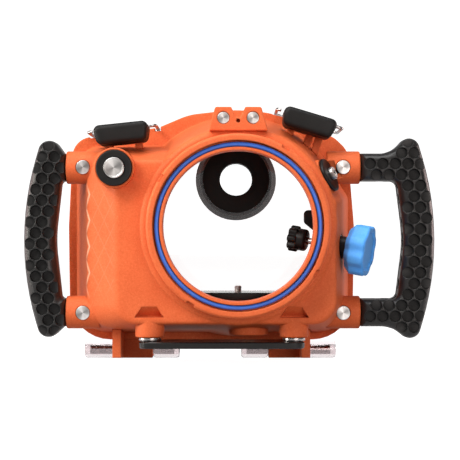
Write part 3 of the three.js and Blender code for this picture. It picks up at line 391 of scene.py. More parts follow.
def corner_reaches(corners):
    """How far each corner's arc wants to run along its sides, shortened where two arcs would meet."""
    places = [Vector(corner[:2]) for corner in corners]
    count = len(corners)
    backs = [places[i - 1] - places[i] for i in range(count)]
    wanted = [corners[i][2] / math.tan(backs[i].angle(-backs[(i + 1) % count]) / 2) for i in range(count)]
    shares = [min(1, 0.98 * backs[i].length / max(wanted[i - 1] + wanted[i], fit / 10)) for i in range(count)]
    return [wanted[i] * min(shares[i], shares[(i + 1) % count]) for i in range(count)]


def rounded(corners, steps=6, closed=True):
    points = []
    last = len(corners) - 1
    reaches = corner_reaches(corners)
    for i, corner in enumerate(corners):
        here = Vector(corner[:2])
        if corner[2] == 0 or (not closed and i in (0, last)):
            points.append(here)
            continue
        back = Vector(corners[i - 1][:2]) - here
        ahead = Vector(corners[(i + 1) % len(corners)][:2]) - here
        half = back.angle(ahead) / 2
        back.normalize()
        ahead.normalize()
        reach = reaches[i]
        arm = reach * math.tan(half)
        centre = here + (back + ahead).normalized() * (arm / math.sin(half))
        start = here + back * reach - centre
        end = here + ahead * reach - centre
        first = math.atan2(start.y, start.x)
        turn = (math.atan2(end.y, end.x) - first + math.pi) % (2 * math.pi) - math.pi
        for step in range(steps + 1):
            angle = first + turn * step / steps
            points.append(centre + Vector((math.cos(angle), math.sin(angle))) * arm)
    return points


def outline(corners, inset=0.0, steps=6):
    return rounded(offset(corners, inset) if inset else corners, steps)


def ring_at(y, corners, inset=0.0, steps=6):
    return [Vector((p.x, y, p.y)) for p in outline(corners, inset, steps)]


def eased(before, here, after, reach, steps=4):
    """Rings that carry the surface round the edge at here in one soft curve."""
    rings = []
    starts = [b.lerp(h, 1 - min(0.5, reach / max((h - b).length, fit))) for b, h in zip(before, here)]
    ends = [h.lerp(a, min(0.5, reach / max((a - h).length, fit))) for h, a in zip(here, after)]
    for step in range(steps + 1):
        t = step / steps
        rings.append([s * (1 - t) ** 2 + h * 2 * t * (1 - t) + e * t ** 2
                      for s, h, e in zip(starts, here, ends)])
    return rings


def skinned(name, rings):
    count = len(rings[0])
    points = [point for ring in rings for point in ring]
    faces = [tuple(range(count)), tuple(reversed(range(len(points) - count, len(points))))]
    for row in range(len(rings) - 1):
        for i in range(count):
            a, b = row * count + i, row * count + (i + 1) % count
            faces.append((a, a + count, b + count, b))
    return mesh_piece(name, points, faces)


def slab(name, corners, front, rear, edge=0.0, steps=6):
    """A plate on an outline, with its front and rear rims eased by edge."""
    flat = [ring_at(y, corners, 0, steps) for y in (front, rear)]
    if not edge:
        return skinned(name, flat)
    inner = [ring_at(y, corners, 2 * edge, steps) for y in (front, rear)]
    return skinned(name, [inner[0], *eased(inner[0], *flat, edge), *eased(*flat, inner[1], edge), inner[1]])


def pillow(name, corners, front, rear, deep, drawn, steps=6):
    """A plate whose rims are full quarter rounds, deep along it and drawn in by drawn."""
    turns = [math.radians(turn) for turn in range(0, 91, 15)]
    shifts = [(deep * (1 - math.cos(a)), drawn * (1 - math.sin(a))) for a in turns]
    rings = [ring_at(front + shift, corners, inset, steps) for shift, inset in shifts]
    rings += [ring_at(rear - shift, corners, inset, steps) for shift, inset in reversed(shifts)]
    return skinned(name, rings)


def block(name, low, high):
    return slab(name, oblong((low[0], low[2]), (high[0], high[2])), low[1], high[1])


# Turned shapes stand at a seat and look a way; an axis is the pair of them

port_axis = (Vector((0, 0, 0)), front_way)


def softened(profile, radius, steps=4, closed=False):
    """Pairs of radius and height, with each corner off the axis rounded."""
    corners = [(r, h, radius if r > 0 else 0) for r, h in profile]
    return [(p.x, p.y) for p in rounded(corners, steps, closed)]


def turned(name, profile, axis=port_axis, count=48, edge=0.0, steps=4, closed=False, wave=None):
    """A lathe shape from pairs of radius and height, walked up its outside; wave alters it by angle."""
    if edge:
        profile = softened(profile, edge, steps, closed)
    seat, way = Vector(axis[0]), axis[1].normalized()
    side = way.cross(up_way if abs(way.z) < 0.9 else right_way).normalized()
    other = way.cross(side)
    points, rows, own = [], [], []
    for radius, height in profile:
        row = []
        for i in range(count if radius > 0 else 1):
            angle = 2 * math.pi * i / count
            reach = radius * (wave(angle) if wave else 1)
            local = Vector((reach * math.cos(angle), reach * math.sin(angle), height))
            row.append(len(points))
            points.append(seat + side * local.x + other * local.y + way * local.z)
            own.append(local * MM)
        rows.append(row)
    faces = []
    pairs = list(zip(rows, rows[1:])) + ([(rows[-1], rows[0])] if closed else [])
    for low, high in pairs:
        for i in range(count):
            j = (i + 1) % count
            corners = [low[i % len(low)], low[j % len(low)], high[j % len(high)], high[i % len(high)]]
            face = tuple(dict.fromkeys(corners))
            if len(face) > 2:
                faces.append(face)
    made = mesh_piece(name, points, faces)
    local_place = made.data.attributes.new("own_axis", "FLOAT_VECTOR", "POINT")
    local_place.data.foreach_set("vector", [value for place in own for value in place])
    return made


def disc(name, radius, low, high, axis=port_axis, count=48, edge=0.0, steps=4, wave=None):
    profile = [(0, low), (radius, low), (radius, high), (0, high)]
    return turned(name, profile, axis, count, edge, steps, wave=wave)


def hoop(name, inner, outer, low, high, axis=port_axis, count=48, edge=0.0, steps=3):
    profile = [(inner, low), (outer, low), (outer, high), (inner, high)]
    return turned(name, profile, axis, count, edge, steps, closed=True)


# Pieces that follow a path or repeat, as node trees

class Growth(NodeTree):
    """A Geometry Nodes tree with named sizes."""

    def __init__(self, name):
        super().__init__(bpy.data.node_groups.new(name, "GeometryNodeTree"))
        for way in ("INPUT", "OUTPUT"):
            self.tree.interface.new_socket("Geometry", in_out=way, socket_type="NodeSocketGeometry")
        self.way_in = self.tree.nodes.new("NodeGroupInput")
        self.way_out = self.tree.nodes.new("NodeGroupOutput")
        self.base = Wire(self, self.way_in.outputs[0])
        self.sizes = {}

    def size(self, name, value):
        socket = self.tree.interface.new_socket(name, in_out="INPUT", socket_type="NodeSocketFloat")
        self.sizes[socket.identifier] = value
        return Wire(self, self.way_in.outputs[name])

    def grow_on(self, piece, geometry, finish):
        real = self.node("GeometryNodeRealizeInstances", Geometry=geometry)
        coat = self.node("GeometryNodeSetMaterial", Geometry=real, Material=finishes[finish].material)
        self.feed(self.way_out.inputs[0], coat)
        modifier = piece.modifiers.new("growth", "NODES")
        modifier.node_group = self.tree
        for identifier, value in self.sizes.items():
            modifier[identifier] = value * MM
        bake(piece)
        return piece


def wire_piece(name, path, radius, finish, sides=14):
    """A round wire along a smooth path."""
    spine = mesh_piece(name, path, [], [(i, i + 1) for i in range(len(path) - 1)])
    growth = Growth(f"{name}_growth")
    section = growth.node("GeometryNodeCurvePrimitiveCircle", Resolution=sides,
                          Radius=growth.size("Wire Radius", radius))
    line = growth.node("GeometryNodeMeshToCurve", Mesh=growth.base)
    swept = growth.node("GeometryNodeCurveToMesh", Curve=line, Profile_Curve=section, Fill_Caps=True)
    return growth.grow_on(spine, swept, finish)


def pit_tools(name, places, radius, floor_radius, depth, sides=14):
    """Tapered cutters, one at each place, pointing the way that it looks."""
    stand = mesh_piece(name, [place for place, _ in places], [])
    aim = stand.data.attributes.new("pit_way", "FLOAT_VECTOR", "POINT")
    aim.data.foreach_set("vector", [value for _, way in places for value in way])
    growth = Growth(f"{name}_growth")
    top, floor = growth.size("Pit Radius", radius), growth.size("Floor Radius", floor_radius)
    cone = growth.node("GeometryNodeMeshCone", Vertices=sides, Radius_Top=top, Radius_Bottom=floor,
                       Depth=growth.size("Depth", depth))
    way = growth.node("GeometryNodeInputNamedAttribute", data_type="FLOAT_VECTOR", Name="pit_way")
    turn = growth.node("FunctionNodeAlignRotationToVector", axis="Z", Vector=way)
    rows = growth.node("GeometryNodeInstanceOnPoints", Points=growth.base, Instance=cone, Rotation=turn)
    return growth.grow_on(stand, rows, "grip")


# Sizes of the shell, as the CAD frame has them

wall = 5
rear_y, flange_y, side_y, face_y, port_y = 0, -14, -60, -84, -104

# Each outline reaches this far left, right, up and down, with corners of this size
flange_side = (141, 97, 97.4, 94.4, 34)
side_rear = (138, 94.5, 69, 90, 26)
side_front = (121.5, 84, 61, 82.5, 22)
face_side = (97, 77.5, 52, 77.5, 18)

# Corners as shares of those reaches and sizes
flange_shares = [(-0.99, -1, 1), (0.985, -1, 1), (1, 0, 4), (0.945, 0.65, 0.5), (0.83, 0.76, 0.6),
                 (0.3, 0.97, 2), (-0.02, 1, 3), (-0.29, 0.955, 1.5), (-0.47, 0.845, 0.5),
                 (-0.975, 0.745, 0.5), (-1, 0, 4)]
block_shares = [(-1, -1, 1), (1, -1, 1), (1, 0.36, 0.5), (0.69, 1, 0.5), (-1, 1, 0.8)]

hump_front, hump_rear, hump_face, hump_setback = 78, 93.5, 86, 5
bore_radius, lip_radius, groove_radius, rim_radius = 59.4, 61.9, 67.2, 72.5
groove_depth, seal_radius, lip_drop, rim_bevel = 6.2, 1.9, 1.2, 1.6
notch_half, notch_turn, notch_depth = 3.5, math.radians(31.5), 5
round_count, hump_count = 192, 160

lug_y, lug_radius, lug_length, socket_radius, socket_depth = -50, 13.3, 27, 9.8, 19.5
lug_rows = {"upper": 47.5, "lower": -69.8}
lug_sides = {"left": -139, "right": 98.7}
lug_places = [(side, row) for side in lug_sides for row in lug_rows]
screw_inset, screw_head, screw_shank, head_height, head_thick = 14, 5.6, 2.4, 3.4, 3.1

tower_front, tower_rear, tower_head = -90.5, -66.5, 4.7
tower_screw_x, tower_screw_z = 11.7, 85.4

foot_shift, foot_across, foot_radius, foot_top, foot_bottom = -13, 57.5, 11.6, -72.5, -88.6
recess_height, recess_depth, plate_screw_room = 8.7, 8, 2.9
boss_axis = ((8.5, -50, -88), up_way)

hinge_y, hinge_z, hinge_foot, rod_room = 6, -104, 5.8, 4.3
hinge_axis = ((0, hinge_y, hinge_z), right_way)
rib_width, rib_front, rib_rise, rib_top = 7, -50, 2.8, -82.5
leaf_front, leaf_top, knuckle_rear = -12, -89.4, 13
bracket_ends = [(-102.1, -71.3, 1), (58.7, 25.8, -1)]

latch_sets = {
    "left": {"seat": (-93.4, -40, 72), "tilt": -6, "ear_height": 16, "ears": (-0.5, 0.5)},
    "right": {"seat": (56.2, -40, 80.5), "tilt": 16.7, "ear_height": 26, "ears": (-0.5, 0.17, 0.5)},
}
latch_y = -40
ear_spacing, ear_half, ear_radius, pin_room = 24, 3, 4.6, 1.8
bail_setback, bail_rise, bail_half, notch_reach = -12, 7, 27.45, 2.5
pin_axis = (Vector((0, 0, 0)), right_way)


def leaning(turn, tilt):
    """The way that turns from upright toward the right, then tilts toward the front, in degrees."""
    turn, tilt = math.radians(turn), math.radians(tilt)
    return Vector((math.sin(turn) * math.cos(tilt), -math.sin(tilt), math.cos(turn) * math.cos(tilt)))


shutter_axis = ((-97.7, -94, 45.8), front_way)
plug_axis = ((71.2, -70, 40.2), leaning(64.4, 18.7))
zoom_axis = ((79.5, -60.8, -15.9), leaning(100, 18))
plug_proud, plug_seat = 3.4, 3.7
button_room, pocket_depth, collar_depth = 8.4, 13, 34


def spread_corners(shares, side):
    left, right, top, bottom, corner = side
    return [(x * (left if x < 0 else right), z * (bottom if z < 0 else top), r * corner)
            for x, z, r in shares]


flange_line = spread_corners(flange_shares, flange_side)


# Shell moulding

def moulded_block(name, inset=0.0):
    """The main body: a slanted front between three outlines, its edges eased as a moulding's are."""
    cap_inset, face_ease, side_ease, steps = 8, 3.5, 2.2, 8
    lines = [spread_corners(block_shares, side) for side in (face_side, side_front, side_rear)]
    levels = (face_y + inset, side_y, rear_y)
    face, front, rear = (ring_at(y, line, inset, steps) for y, line in zip(levels, lines))
    cap = ring_at(face_y + inset, lines[0], inset + cap_inset, steps)
    rings = [cap, *eased(cap, face, front, face_ease, 6), *eased(face, front, rear, side_ease, 6), rear]
    return skinned(name, rings)


def dome(name):
    profile = [(0, hump_setback), (hump_rear, hump_setback), (hump_front, hump_face), (0, hump_face)]
    return turned(name, profile, count=hump_count, edge=5, steps=6)


def hollow(name, inset):
    """The room inside, open to the rear by its own outline."""
    room = moulded_block(name, inset)
    mouth = offset(spread_corners(block_shares, side_rear), inset)
    joined(room, slab("room_mouth", mouth, -1, over, 0, 8))
    reach, front = hump_rear - inset, -face_y - inset
    profile = [(0, -over), (reach, -over), (reach, hump_setback), (hump_front - inset, front), (0, front)]
    joined(room, turned("dome_room", profile, count=hump_count))
    return kept_inside(room, slab("room_limit", offset(flange_line, 13), port_y, over))


def port_neck():
    front = -port_y
    profile = [(0, -side_y), (rim_radius, -side_y), (rim_radius, front - rim_bevel),
               (rim_radius - rim_bevel, front), (0, front)]
    return turned("neck", profile, count=round_count, edge=0.7, steps=3)


def port_cuts():
    front = -port_y
    yield disc("bore", bore_radius, -flange_y, front + over, count=round_count)
    yield hoop("groove", lip_radius, groove_radius, front - groove_depth, front + over, count=round_count)
    yield disc("lip_drop", lip_radius + fit, front - lip_drop, front + over, count=round_count)
    notch = [(rim_radius + 1.3 + x, z, r) for x, z, r in oblong([-notch_half] * 2, [notch_half] * 2, 0.8)]
    for i in range(4):
        angle = i * math.pi / 2 - notch_turn
        cos, sin = math.cos(angle), math.sin(angle)
        placed = [(x * cos - z * sin, x * sin + z * cos, r) for x, z, r in notch]
        yield slab("notch", placed, port_y - over, port_y + notch_depth, 0, 3)


def lug_axis(side, row, proud=0):
    sign = side_signs[side]
    return (lug_sides[side] + sign * proud, lug_y, lug_rows[row]), right_way * sign


def lug_screw_axis(side, row, sunk=0):
    x = lug_sides[side] - side_signs[side] * screw_inset
    return (x, lug_y - lug_radius + sunk, lug_rows[row]), front_way


def lug_cuts(side, row):
    front = lug_screw_axis(side, row)
    yield disc("socket", socket_radius, -socket_depth, over, lug_axis(side, row))
    yield disc("head_room", screw_head + fit, -head_height, 24, front)
    yield disc("shank_room", screw_shank + fit, -lug_radius - socket_radius - over, 0, front, 24)


def bracket_towers():
    half = [(1.2, 85, 0.8), (5.6, 94.1, 1.4), (18.25, 94.1, 2), (23.4, 75.3, 1)]
    line = [(-x, z, r) for x, z, r in reversed(half)] + half
    return slab("towers", line[::-1], tower_front, tower_rear, 0.8)


def bracket_cuts():
    for sign in side_signs.values():
        front = ((sign * tower_screw_x, tower_front, tower_screw_z), front_way)
        yield disc("tower_head_room", tower_head + fit, -head_height, 3, front)
        yield disc("tower_shank_room", screw_shank + fit, -16.3, 0, front, 24)
    yield disc("tower_eye", 1.6, -8, 4, ((0, tower_front, 83.2), front_way), 20)


def foot_axis(sign, z=foot_bottom):
    return (foot_shift + sign * foot_across, face_y + foot_radius, z), up_way


def foot_backing(sign):
    middle, half = foot_shift + sign * foot_across, foot_radius + wall
    return block("backing", (middle - half, face_y + wall / 2, foot_top - wall),
                 (middle + half, face_y + recess_depth + wall, foot_top + recess_height + wall))


def foot_cuts(sign):
    """The wedge cut above a foot, flush at its top and deep at its floor, and the plate screw's hole."""
    x = foot_shift + sign * foot_across
    wide, narrow, top, deep = foot_radius, foot_radius / 2, foot_top + recess_height, face_y + recess_depth
    front = [(-wide, foot_top), (wide, foot_top), (narrow, top), (-narrow, top)]
    floor = [(-wide, foot_top), (wide, foot_top), (wide * 0.8, foot_top + 1.2), (-wide * 0.8, foot_top + 1.2)]
    rings = [[Vector((x + across, y, z)) for across, z in line]
             for y, line in ((face_y - 4, front), (face_y, front), (deep, floor))]
    yield skinned("recess", rings)
    yield disc("foot_hole", plate_screw_room, -over, 14, foot_axis(sign), 24)


def hinge_bracket(rib, inner, sign):
    low, high = min(rib, inner), max(rib, inner)
    bottom = hinge_z - hinge_foot
    leaf = block("leaf", (low, leaf_front, bottom), (high, -fit, leaf_top))
    knuckle = block("bracket_knuckle", (low, leaf_front, bottom), (high, knuckle_rear, hinge_z + hinge_foot))
    rib_low = min(rib, rib + sign * rib_width)
    profile = [(rib_front, rib_top), (rib_front, bottom + rib_rise), (leaf_front, bottom), (0, bottom),
               (0, rib_top)]
    left = [Vector((rib_low, y, z)) for y, z in profile]
    right = [point + right_way * rib_width for point in left]
    return leaf, knuckle, skinned("gusset", [left, right])


def latch_turned(piece, which):
    """Turns a piece made about the latch pin, with X along it, to the place of that latch."""
    angle = math.radians(which["tilt"])
    cos, sin = math.cos(angle), math.sin(angle)
    seat = Vector(which["seat"])
    for vertex in piece.data.vertices:
        p = (vertex.co - port_origin) / MM
        vertex.co = port_origin + (seat + Vector((p.x * cos + p.z * sin, p.y, -p.x * sin + p.z * cos))) * MM
    return piece


def at_latches(make, *sizes):
    """Everything that make gives for each latch, turned to its place."""
    return [latch_turned(piece, which) for which in latch_sets.values() for piece in make(which, *sizes)]


def latch_ears(which):
    low, high = -which["ear_height"], ear_radius
    line = [(-ear_radius, low, 0), (ear_radius, low, 0), (ear_radius, high, 4.5), (-ear_radius, high, 4.5)]
    for share in which["ears"]:
        left = [Vector((share * ear_spacing - ear_half, p.x, p.y)) for p in rounded(line, 8)]
        right = [point + right_way * ear_half * 2 for point in left]
        yield skinned("ear", [left, right])


def pin_hole(_):
    yield disc("pin_room", pin_room, -24, 24, pin_axis, 24)


def bail_notches(_, front, rear):
    for sign in side_signs.values():
        middle, reach = sign * bail_half, notch_reach
        yield block("bail_notch", (middle - reach, front - latch_y, bail_rise - reach),
                    (middle + reach, rear - latch_y, 97.4))


def shutter_cuts():
    yield disc("bezel_seat", 14.4, -5, over, shutter_axis, 72)
    yield disc("pocket", button_room, -pocket_depth, over, shutter_axis)
    yield disc("guide", 2.9, -94, over, shutter_axis, 24)


def gasket_groove():
    outer = slab("groove_outer", offset(flange_line, 4.7), -3.3, 2)
    return carved(outer, slab("groove_inner", offset(flange_line, 8.3), -5.3, 4))


def shell_moulding():
    shell = joined(
        slab("shell_moulding", flange_line, flange_y, rear_y, 0.8, 8), moulded_block("body_block"),
        dome("hump"), port_neck(), bracket_towers(),
        disc("collar", 16, -collar_depth, 0, shutter_axis, 72, 0.8),
        *[disc("foot", foot_radius, 0, foot_top - foot_bottom, foot_axis(sign), 56, 1.2)
          for sign in side_signs.values()],
        disc("boss", 16, 0, 13, boss_axis, 64, 1),
        *[part for ends in bracket_ends for part in hinge_bracket(*ends)],
        *at_latches(latch_ears),
    )
    carved(shell, hollow("cavity", wall))
    joined(
        shell,
        disc("plug_boss", 15, -10, 0, plug_axis, 64, 0.8),
        disc("gland_boss", 11, -12, 0, zoom_axis, 56, 0.8),
        disc("shutter_guide", 5, -31.3, -pocket_depth, shutter_axis, 32),
        *[kept_inside(foot_backing(sign), moulded_block("backing_limit")) for sign in side_signs.values()],
        *[disc("lug", lug_radius, -lug_length, 0, lug_axis(*place), 64, 1.4) for place in lug_places],
    )
    return carved(
        shell, *port_cuts(), *[cut for place in lug_places for cut in lug_cuts(*place)], *bracket_cuts(),
        *foot_cuts(-1), *foot_cuts(1), disc("bush_room", 5.3, -over, 9.3, boss_axis, 32),
        *[disc("rod_room", rod_room, min(rib, inner) - over, max(rib, inner) + over, hinge_axis)
          for rib, inner, _ in bracket_ends],
        *at_latches(pin_hole), *at_latches(bail_notches, -16, 2), *shutter_cuts(),
        disc("plug_room", 4.3, -20, over, plug_axis, 24),
        disc("plug_face", 14.3, 0, 4.4 + plug_proud, plug_axis, 64),
        disc("gland_room", 5.9, -18, over, zoom_axis, 32),
        disc("gland_face", 9.9, 0, 17, zoom_axis, 56),
        gasket_groove(),
    )


# Port ring and rear door

door_rear = 12.3
eye_seat = (-1.5, 0, 39.4)
eye_axis = (eye_seat, rear_way)
knuckle_spans = [(-129, -102.4), (-71, -49), (3, 25.5), (59, 82.7)]


def port_ring():
    middle, radius, sides = lip_radius + fit + seal_radius, seal_radius, 20
    height = -port_y - groove_depth + fit + radius
    profile = [(middle + radius * math.cos(a), height + radius * math.sin(a))
               for a in (2 * math.pi * i / sides for i in range(sides))]
    return turned("port_seal", profile, count=round_count, closed=True)


def latch_catch(_):
    """The hook behind the door that a bail snaps over."""
    half, rear, lip = 15, door_rear - latch_y, 1.6
    wire_back, floor = rear + 3, bail_rise - 1.5
    yield block("catch", (-half, rear - 5, floor - 12), (half, wire_back + lip, floor))
    yield block("catch_lip", (-half, wire_back, floor - lip), (half, wire_back + lip, floor + 2.8))


def clear_door():
    door = slab("door_moulding", offset(flange_line, 1), fit, door_rear, 1.2, 8)
    web = 0.4
    for low, high in knuckle_spans:
        joined(door, disc("door_knuckle", 7, low, high, hinge_axis, 48, 2.2, 5),
               block("door_web", (low + web, fit + web, hinge_z), (high - web, door_rear - web, -62)))
    joined(door, *at_latches(latch_catch))
    for rib, inner, _ in bracket_ends:
        low, high = min(rib, inner) - fit, max(rib, inner) + fit
        carved(door, block("bracket_room", (low, -over, hinge_z - 14),
                           (high, door_rear + over, hinge_z + 12)))
    return carved(
        door, disc("eye_room", 22.3, -door_rear - over, over, (eye_seat, front_way), 96),
        disc("rod_bore", rod_room, knuckle_spans[0][0] - over, knuckle_spans[-1][1] + over, hinge_axis),
        *at_latches(bail_notches, -over, door_rear + fit),
    )


def eyepiece_pieces():
    face, inner, pane_edge = door_rear + 7, 13.6, 15.9
    body = [(inner, -6), (28, -6), (28, 0), (22, 0), (22, face), (pane_edge, face),
            (pane_edge, door_rear + 4.2), (inner, door_rear + 4.2)]
    finished(turned("eyepiece_housing", body, eye_axis, 96, 0.6, 3, True), "hub", "eyepiece_body", "door")
    pane = disc("eyepiece_pane", pane_edge - fit, door_rear + 4.5, face, eye_axis, 72, 0.3)
    finished(pane, "window", "eyepiece_window", "door")
    seat = door_rear + fit
    cup = [(22.3, 0), (30.4, 0), (31.2, 3), (32.4, 5.2), (32.2, 6.2), (34.4, 11.2), (33.8, 12), (31.4, 11.6),
           (29.6, 6), (27.9, 2.5), (22.3, 2.5)]
    skirt = turned("eyecup_skirt", [(r, seat + h) for r, h in cup], eye_axis, 96, 0.9, 3, True)
    finished(skirt, "cup", "eyecup", "door")


def hinge_rods():
    for side, (first, last) in zip(side_signs, (knuckle_spans[:2], knuckle_spans[2:])):
        rod = disc(f"hinge_pin_{side}", 4, first[0] + 4.6, last[1] - 4.6, hinge_axis, 40, 0.5)
        finished(rod, "steel", f"hinge_rod_{side}")


# Latches

def lever_cover(side, which):
    half, rise = 23.25, 5.4
    narrow, top, edge, room = half * 0.84, 10.6, 4, 5.2
    line = [(-narrow, -rise, 5), (narrow, -rise, 5), (half, top, 5), (-half, top, 5)]
    cover = pillow(f"lever_cover_{side}", line, -36, 6.4, edge, edge)
    reach = ear_half + fit
    for share in which["ears"]:
        middle = share * ear_spacing
        carved(cover, block("ear_slot", (middle - reach, -room, -16), (middle + reach, 8.4, room)))
    bail_axis = ((0, bail_setback, bail_rise), right_way)
    carved(cover, disc("pin_room", pin_room, -46, 46, pin_axis, 24),
           disc("bail_room", 1.5, -46, 46, bail_axis, 24))
    return latch_turned(cover, which)


def latch_bail(side, which):
    back, middle, bend, wire_radius = 53.8, 0.3, 3.4, 1.4
    half = [(middle, bail_setback, 0), (bail_half, bail_setback, bend), (bail_half, back, bend),
            (middle, back, 0)]
    line = rounded(half, 8, False)
    path = [(p.x, p.y, bail_rise) for p in line] + [(-p.x, p.y, bail_rise) for p in reversed(line)]
    return latch_turned(wire_piece(f"bail_wire_{side}", path[:-1], wire_radius, "steel"), which)


# Grips

grip_width, grip_arm, grip_depth, grip_soft, grip_drawn = 24.6, 11.2, 17, 9, 7.4
horn_top, horn_bottom, horn_radius = 80.3, -97.2, 9
inner_bow, outer_bow, bow_half = 120, 235, 66.5
pit_pitch, edge_pitch, pit_lead, pit_margin, lug_margin, edge_shift = 10.1, 0.62, 1.2, 2.4, 14, 5.2
pit_reach = 20
pit_starts = {"left": (-157.5, -14.2), "right": (151.5, -28.6)}

# Radius at the mouth and at the floor of a pit's cutter, and its length
face_pit, edge_pit = (4.3, 4.95, 5.4), (4, 5, 4.2)


def grip_corners(side, reach, arm_share, hollow_share):
    """The outer edge is one arc between straight ends that meet at its peak and run out to the horns."""
    root = abs(lug_sides[side]) + fit
    inner, arm = root + reach, root + reach * arm_share
    hollow_x = root + (reach + grip_width) * hollow_share
    dip, crook = hollow_x - root, min(grip_arm / 2, arm - root - fit)
    upper, lower = lug_rows["upper"], lug_rows["lower"]
    middle, lean = (upper + lower) / 2, math.asin(bow_half / outer_bow)
    peak = inner + grip_width + outer_bow * (1 / math.cos(lean) - 1)
    horn = [peak - abs(z - middle) * math.tan(lean) for z in (horn_bottom, horn_top)]
    corners = [
        (root, lower - grip_arm, 0), (hollow_x, lower - grip_arm, dip), (horn[0], horn_bottom, horn_radius),
        (peak, middle, outer_bow), (horn[1], horn_top, horn_radius), (hollow_x, upper + grip_arm, dip),
        (root, upper + grip_arm, 0), (root, upper - grip_arm, 0), (arm, upper - grip_arm, crook),
        (inner, middle, inner_bow), (arm, lower + grip_arm, crook), (root, lower + grip_arm, 0),
    ]
    sign = side_signs[side]
    placed = [(sign * x, z, max(r, fit)) for x, z, r in corners]
    return placed[::-1] if sign < 0 else placed


grips = {"left": grip_corners("left", 8.9, 0.4, 0.03), "right": grip_corners("right", 35, 0.83, 0.42)}


def inside(point, line):
    hits = False
    for i, here in enumerate(line):
        before = line[i - 1]
        if (here.y > point[1]) != (before.y > point[1]):
            cross = before.x + (point[1] - before.y) / (here.y - before.y) * (here.x - before.x)
            hits ^= point[0] < cross
    return hits


def face_places(side):
    """A lattice of staggered rows, kept inside the grip's own outline."""
    line = outline(grips[side], pit_margin)
    start_x, start_z = pit_starts[side]
    row_height = pit_pitch * math.sqrt(3) / 2
    for row in range(-pit_reach, pit_reach):
        shift = start_x + (row % 2) * pit_pitch / 2
        for column in range(-pit_reach, pit_reach):
            place = (shift + column * pit_pitch, start_z + row * row_height)
            if inside(place, line):
                yield place


def edge_spots(side):
    """Two staggered rows of pits along the bar's inner and outer edges, clear of the lugs."""
    line = rounded(grips[side], 24)
    walked, due = 0.0, 0.0
    for i, here in enumerate(line):
        before = line[i - 1]
        step = (here - before).length
        while due <= walked + step and step > 0:
            spot = before.lerp(here, (due - walked) / step)
            along = (here - before).normalized()
            way = Vector((-along.y, along.x))
            shift = edge_shift if round(due / (pit_pitch / 2)) % 2 else -edge_shift
            start = spot - way * pit_lead
            if abs(spot.x) > abs(lug_sides[side]) + lug_margin:
                yield (start.x, lug_y + shift, start.y), (way.x, 0, way.y)
            due += pit_pitch * edge_pitch
        walked += step


def grip_piece(side):
    """A grip with its pits, and each point's depth below the plain skin, which sets the painted shade in the
    pits.
    """
    front, rear = lug_y - grip_depth, lug_y + grip_depth
    grip = pillow(f"grip_{side}", grips[side], front, rear, grip_soft, grip_drawn, 12)
    skin = BVHTree.FromObject(grip, bpy.context.evaluated_depsgraph_get())
    places = list(face_places(side))
    for y, way in ((front - pit_lead, 1), (rear + pit_lead, -1)):
        spots = [((x, y, z), (0, way, 0)) for x, z in places]
        carved(grip, pit_tools("face_pits", spots, *face_pit))
    carved(grip, pit_tools("edge_pits", list(edge_spots(side)), *edge_pit))
    sunk = grip.data.attributes.new("pit_shade_depth", "FLOAT", "POINT")
    depths = [skin.find_nearest(vertex.co)[3] / MM for vertex in grip.data.vertices]
    sunk.data.foreach_set("value", [min(1, max(0, depth - 0.15)) for depth in depths])
    return grip


def grip_spigots(side):
    for row in lug_rows:
        stub = disc("spigot", socket_radius - fit, -18, 4, lug_axis(side, row, fit), 48, 0.5)
        across = lug_screw_axis(side, row, lug_radius)
        yield carved(stub, disc("screw_room", screw_shank + fit, -lug_radius, lug_radius, across, 24))


# Screws and small turned parts

def headed_screw(name, head, low_down, shank, length, axis):
    """A slightly dished head on a plain shank."""
    dish = 0.12
    profile = [(0, 0), (head, 0), (head, low_down), (head * 0.5, low_down - dish), (0, low_down - dish * 1.4)]
    return joined(turned(name, profile, axis, 64, 0.5), disc("shank", shank, -length, 0.2, axis, 24))


def shell_screws():
    for row in lug_rows:
        for side in lug_sides:
            axis = lug_screw_axis(side, row, head_height - fit)
            screw = headed_screw(f"grip_screw_{row}_{side}", screw_head, head_thick, screw_shank, 19.7, axis)
            finished(screw, "turned", f"handle_screw_{row}_{side}")
    for side, sign in side_signs.items():
        axis = ((sign * tower_screw_x, tower_front + head_height - fit, tower_screw_z), front_way)
        screw = headed_screw(f"tower_screw_{side}", tower_head, head_thick, screw_shank, 12.6, axis)
        finished(screw, "turned", f"bracket_screw_{side}")


def shutter_pieces():
    ring = hoop("shutter_ring", button_room, 14.1, -4.7, 2.6, shutter_axis, 96, 0.7, 4)
    finished(ring, "black", "shutter_bezel")
    radius, stem, rim = button_room - fit, 2.6, 3.8
    button = [(0, -32), (stem, -32), (stem, -0.8), (radius, -0.8), (radius, rim), (6.9, rim), (6.6, 3.55),
              (0, 3.4)]
    cap = turned("shutter_cap", button, shutter_axis, 72, 0.35, 3)
    finished(cap, "turned", "shutter_button", "shutter")


def plug_pieces():
    finished(hoop("plug_ring", 4.3, 14, fit, 3.4, plug_axis, 72, 1.1, 4), "black", "plug_washer")
    top = plug_seat + plug_proud
    head = disc("plug_head", 5.2, plug_seat, top, plug_axis, 48, 0.5)
    joined(head, disc("plug_shank", 4, -18, 3.9, plug_axis, 32))
    carved(head, disc("plug_socket", 2.4, top - 2.6, top + over, plug_axis, 6))
    finished(head, "turned", "plug_body")


shaft_radius, shaft_room = 2.5, 2.8
gland_proud, knob_radius, knob_height = 10.1, 21, 17
wheel_near, wheel_far, wheel_radius, wheel_height, wheel_dip = -25.2, -39.7, 10.5, 7.5, 2.2


def knob_wave(angle):
    """Eight broad scallops round the knob."""
    return 1 - 0.088 * abs(math.cos(4 * angle)) ** 3


def wheel_wave(angle):
    """Eight lobes with rounder notches between them."""
    return 1 - wheel_dip / wheel_radius * abs(math.sin(4 * angle)) ** 4


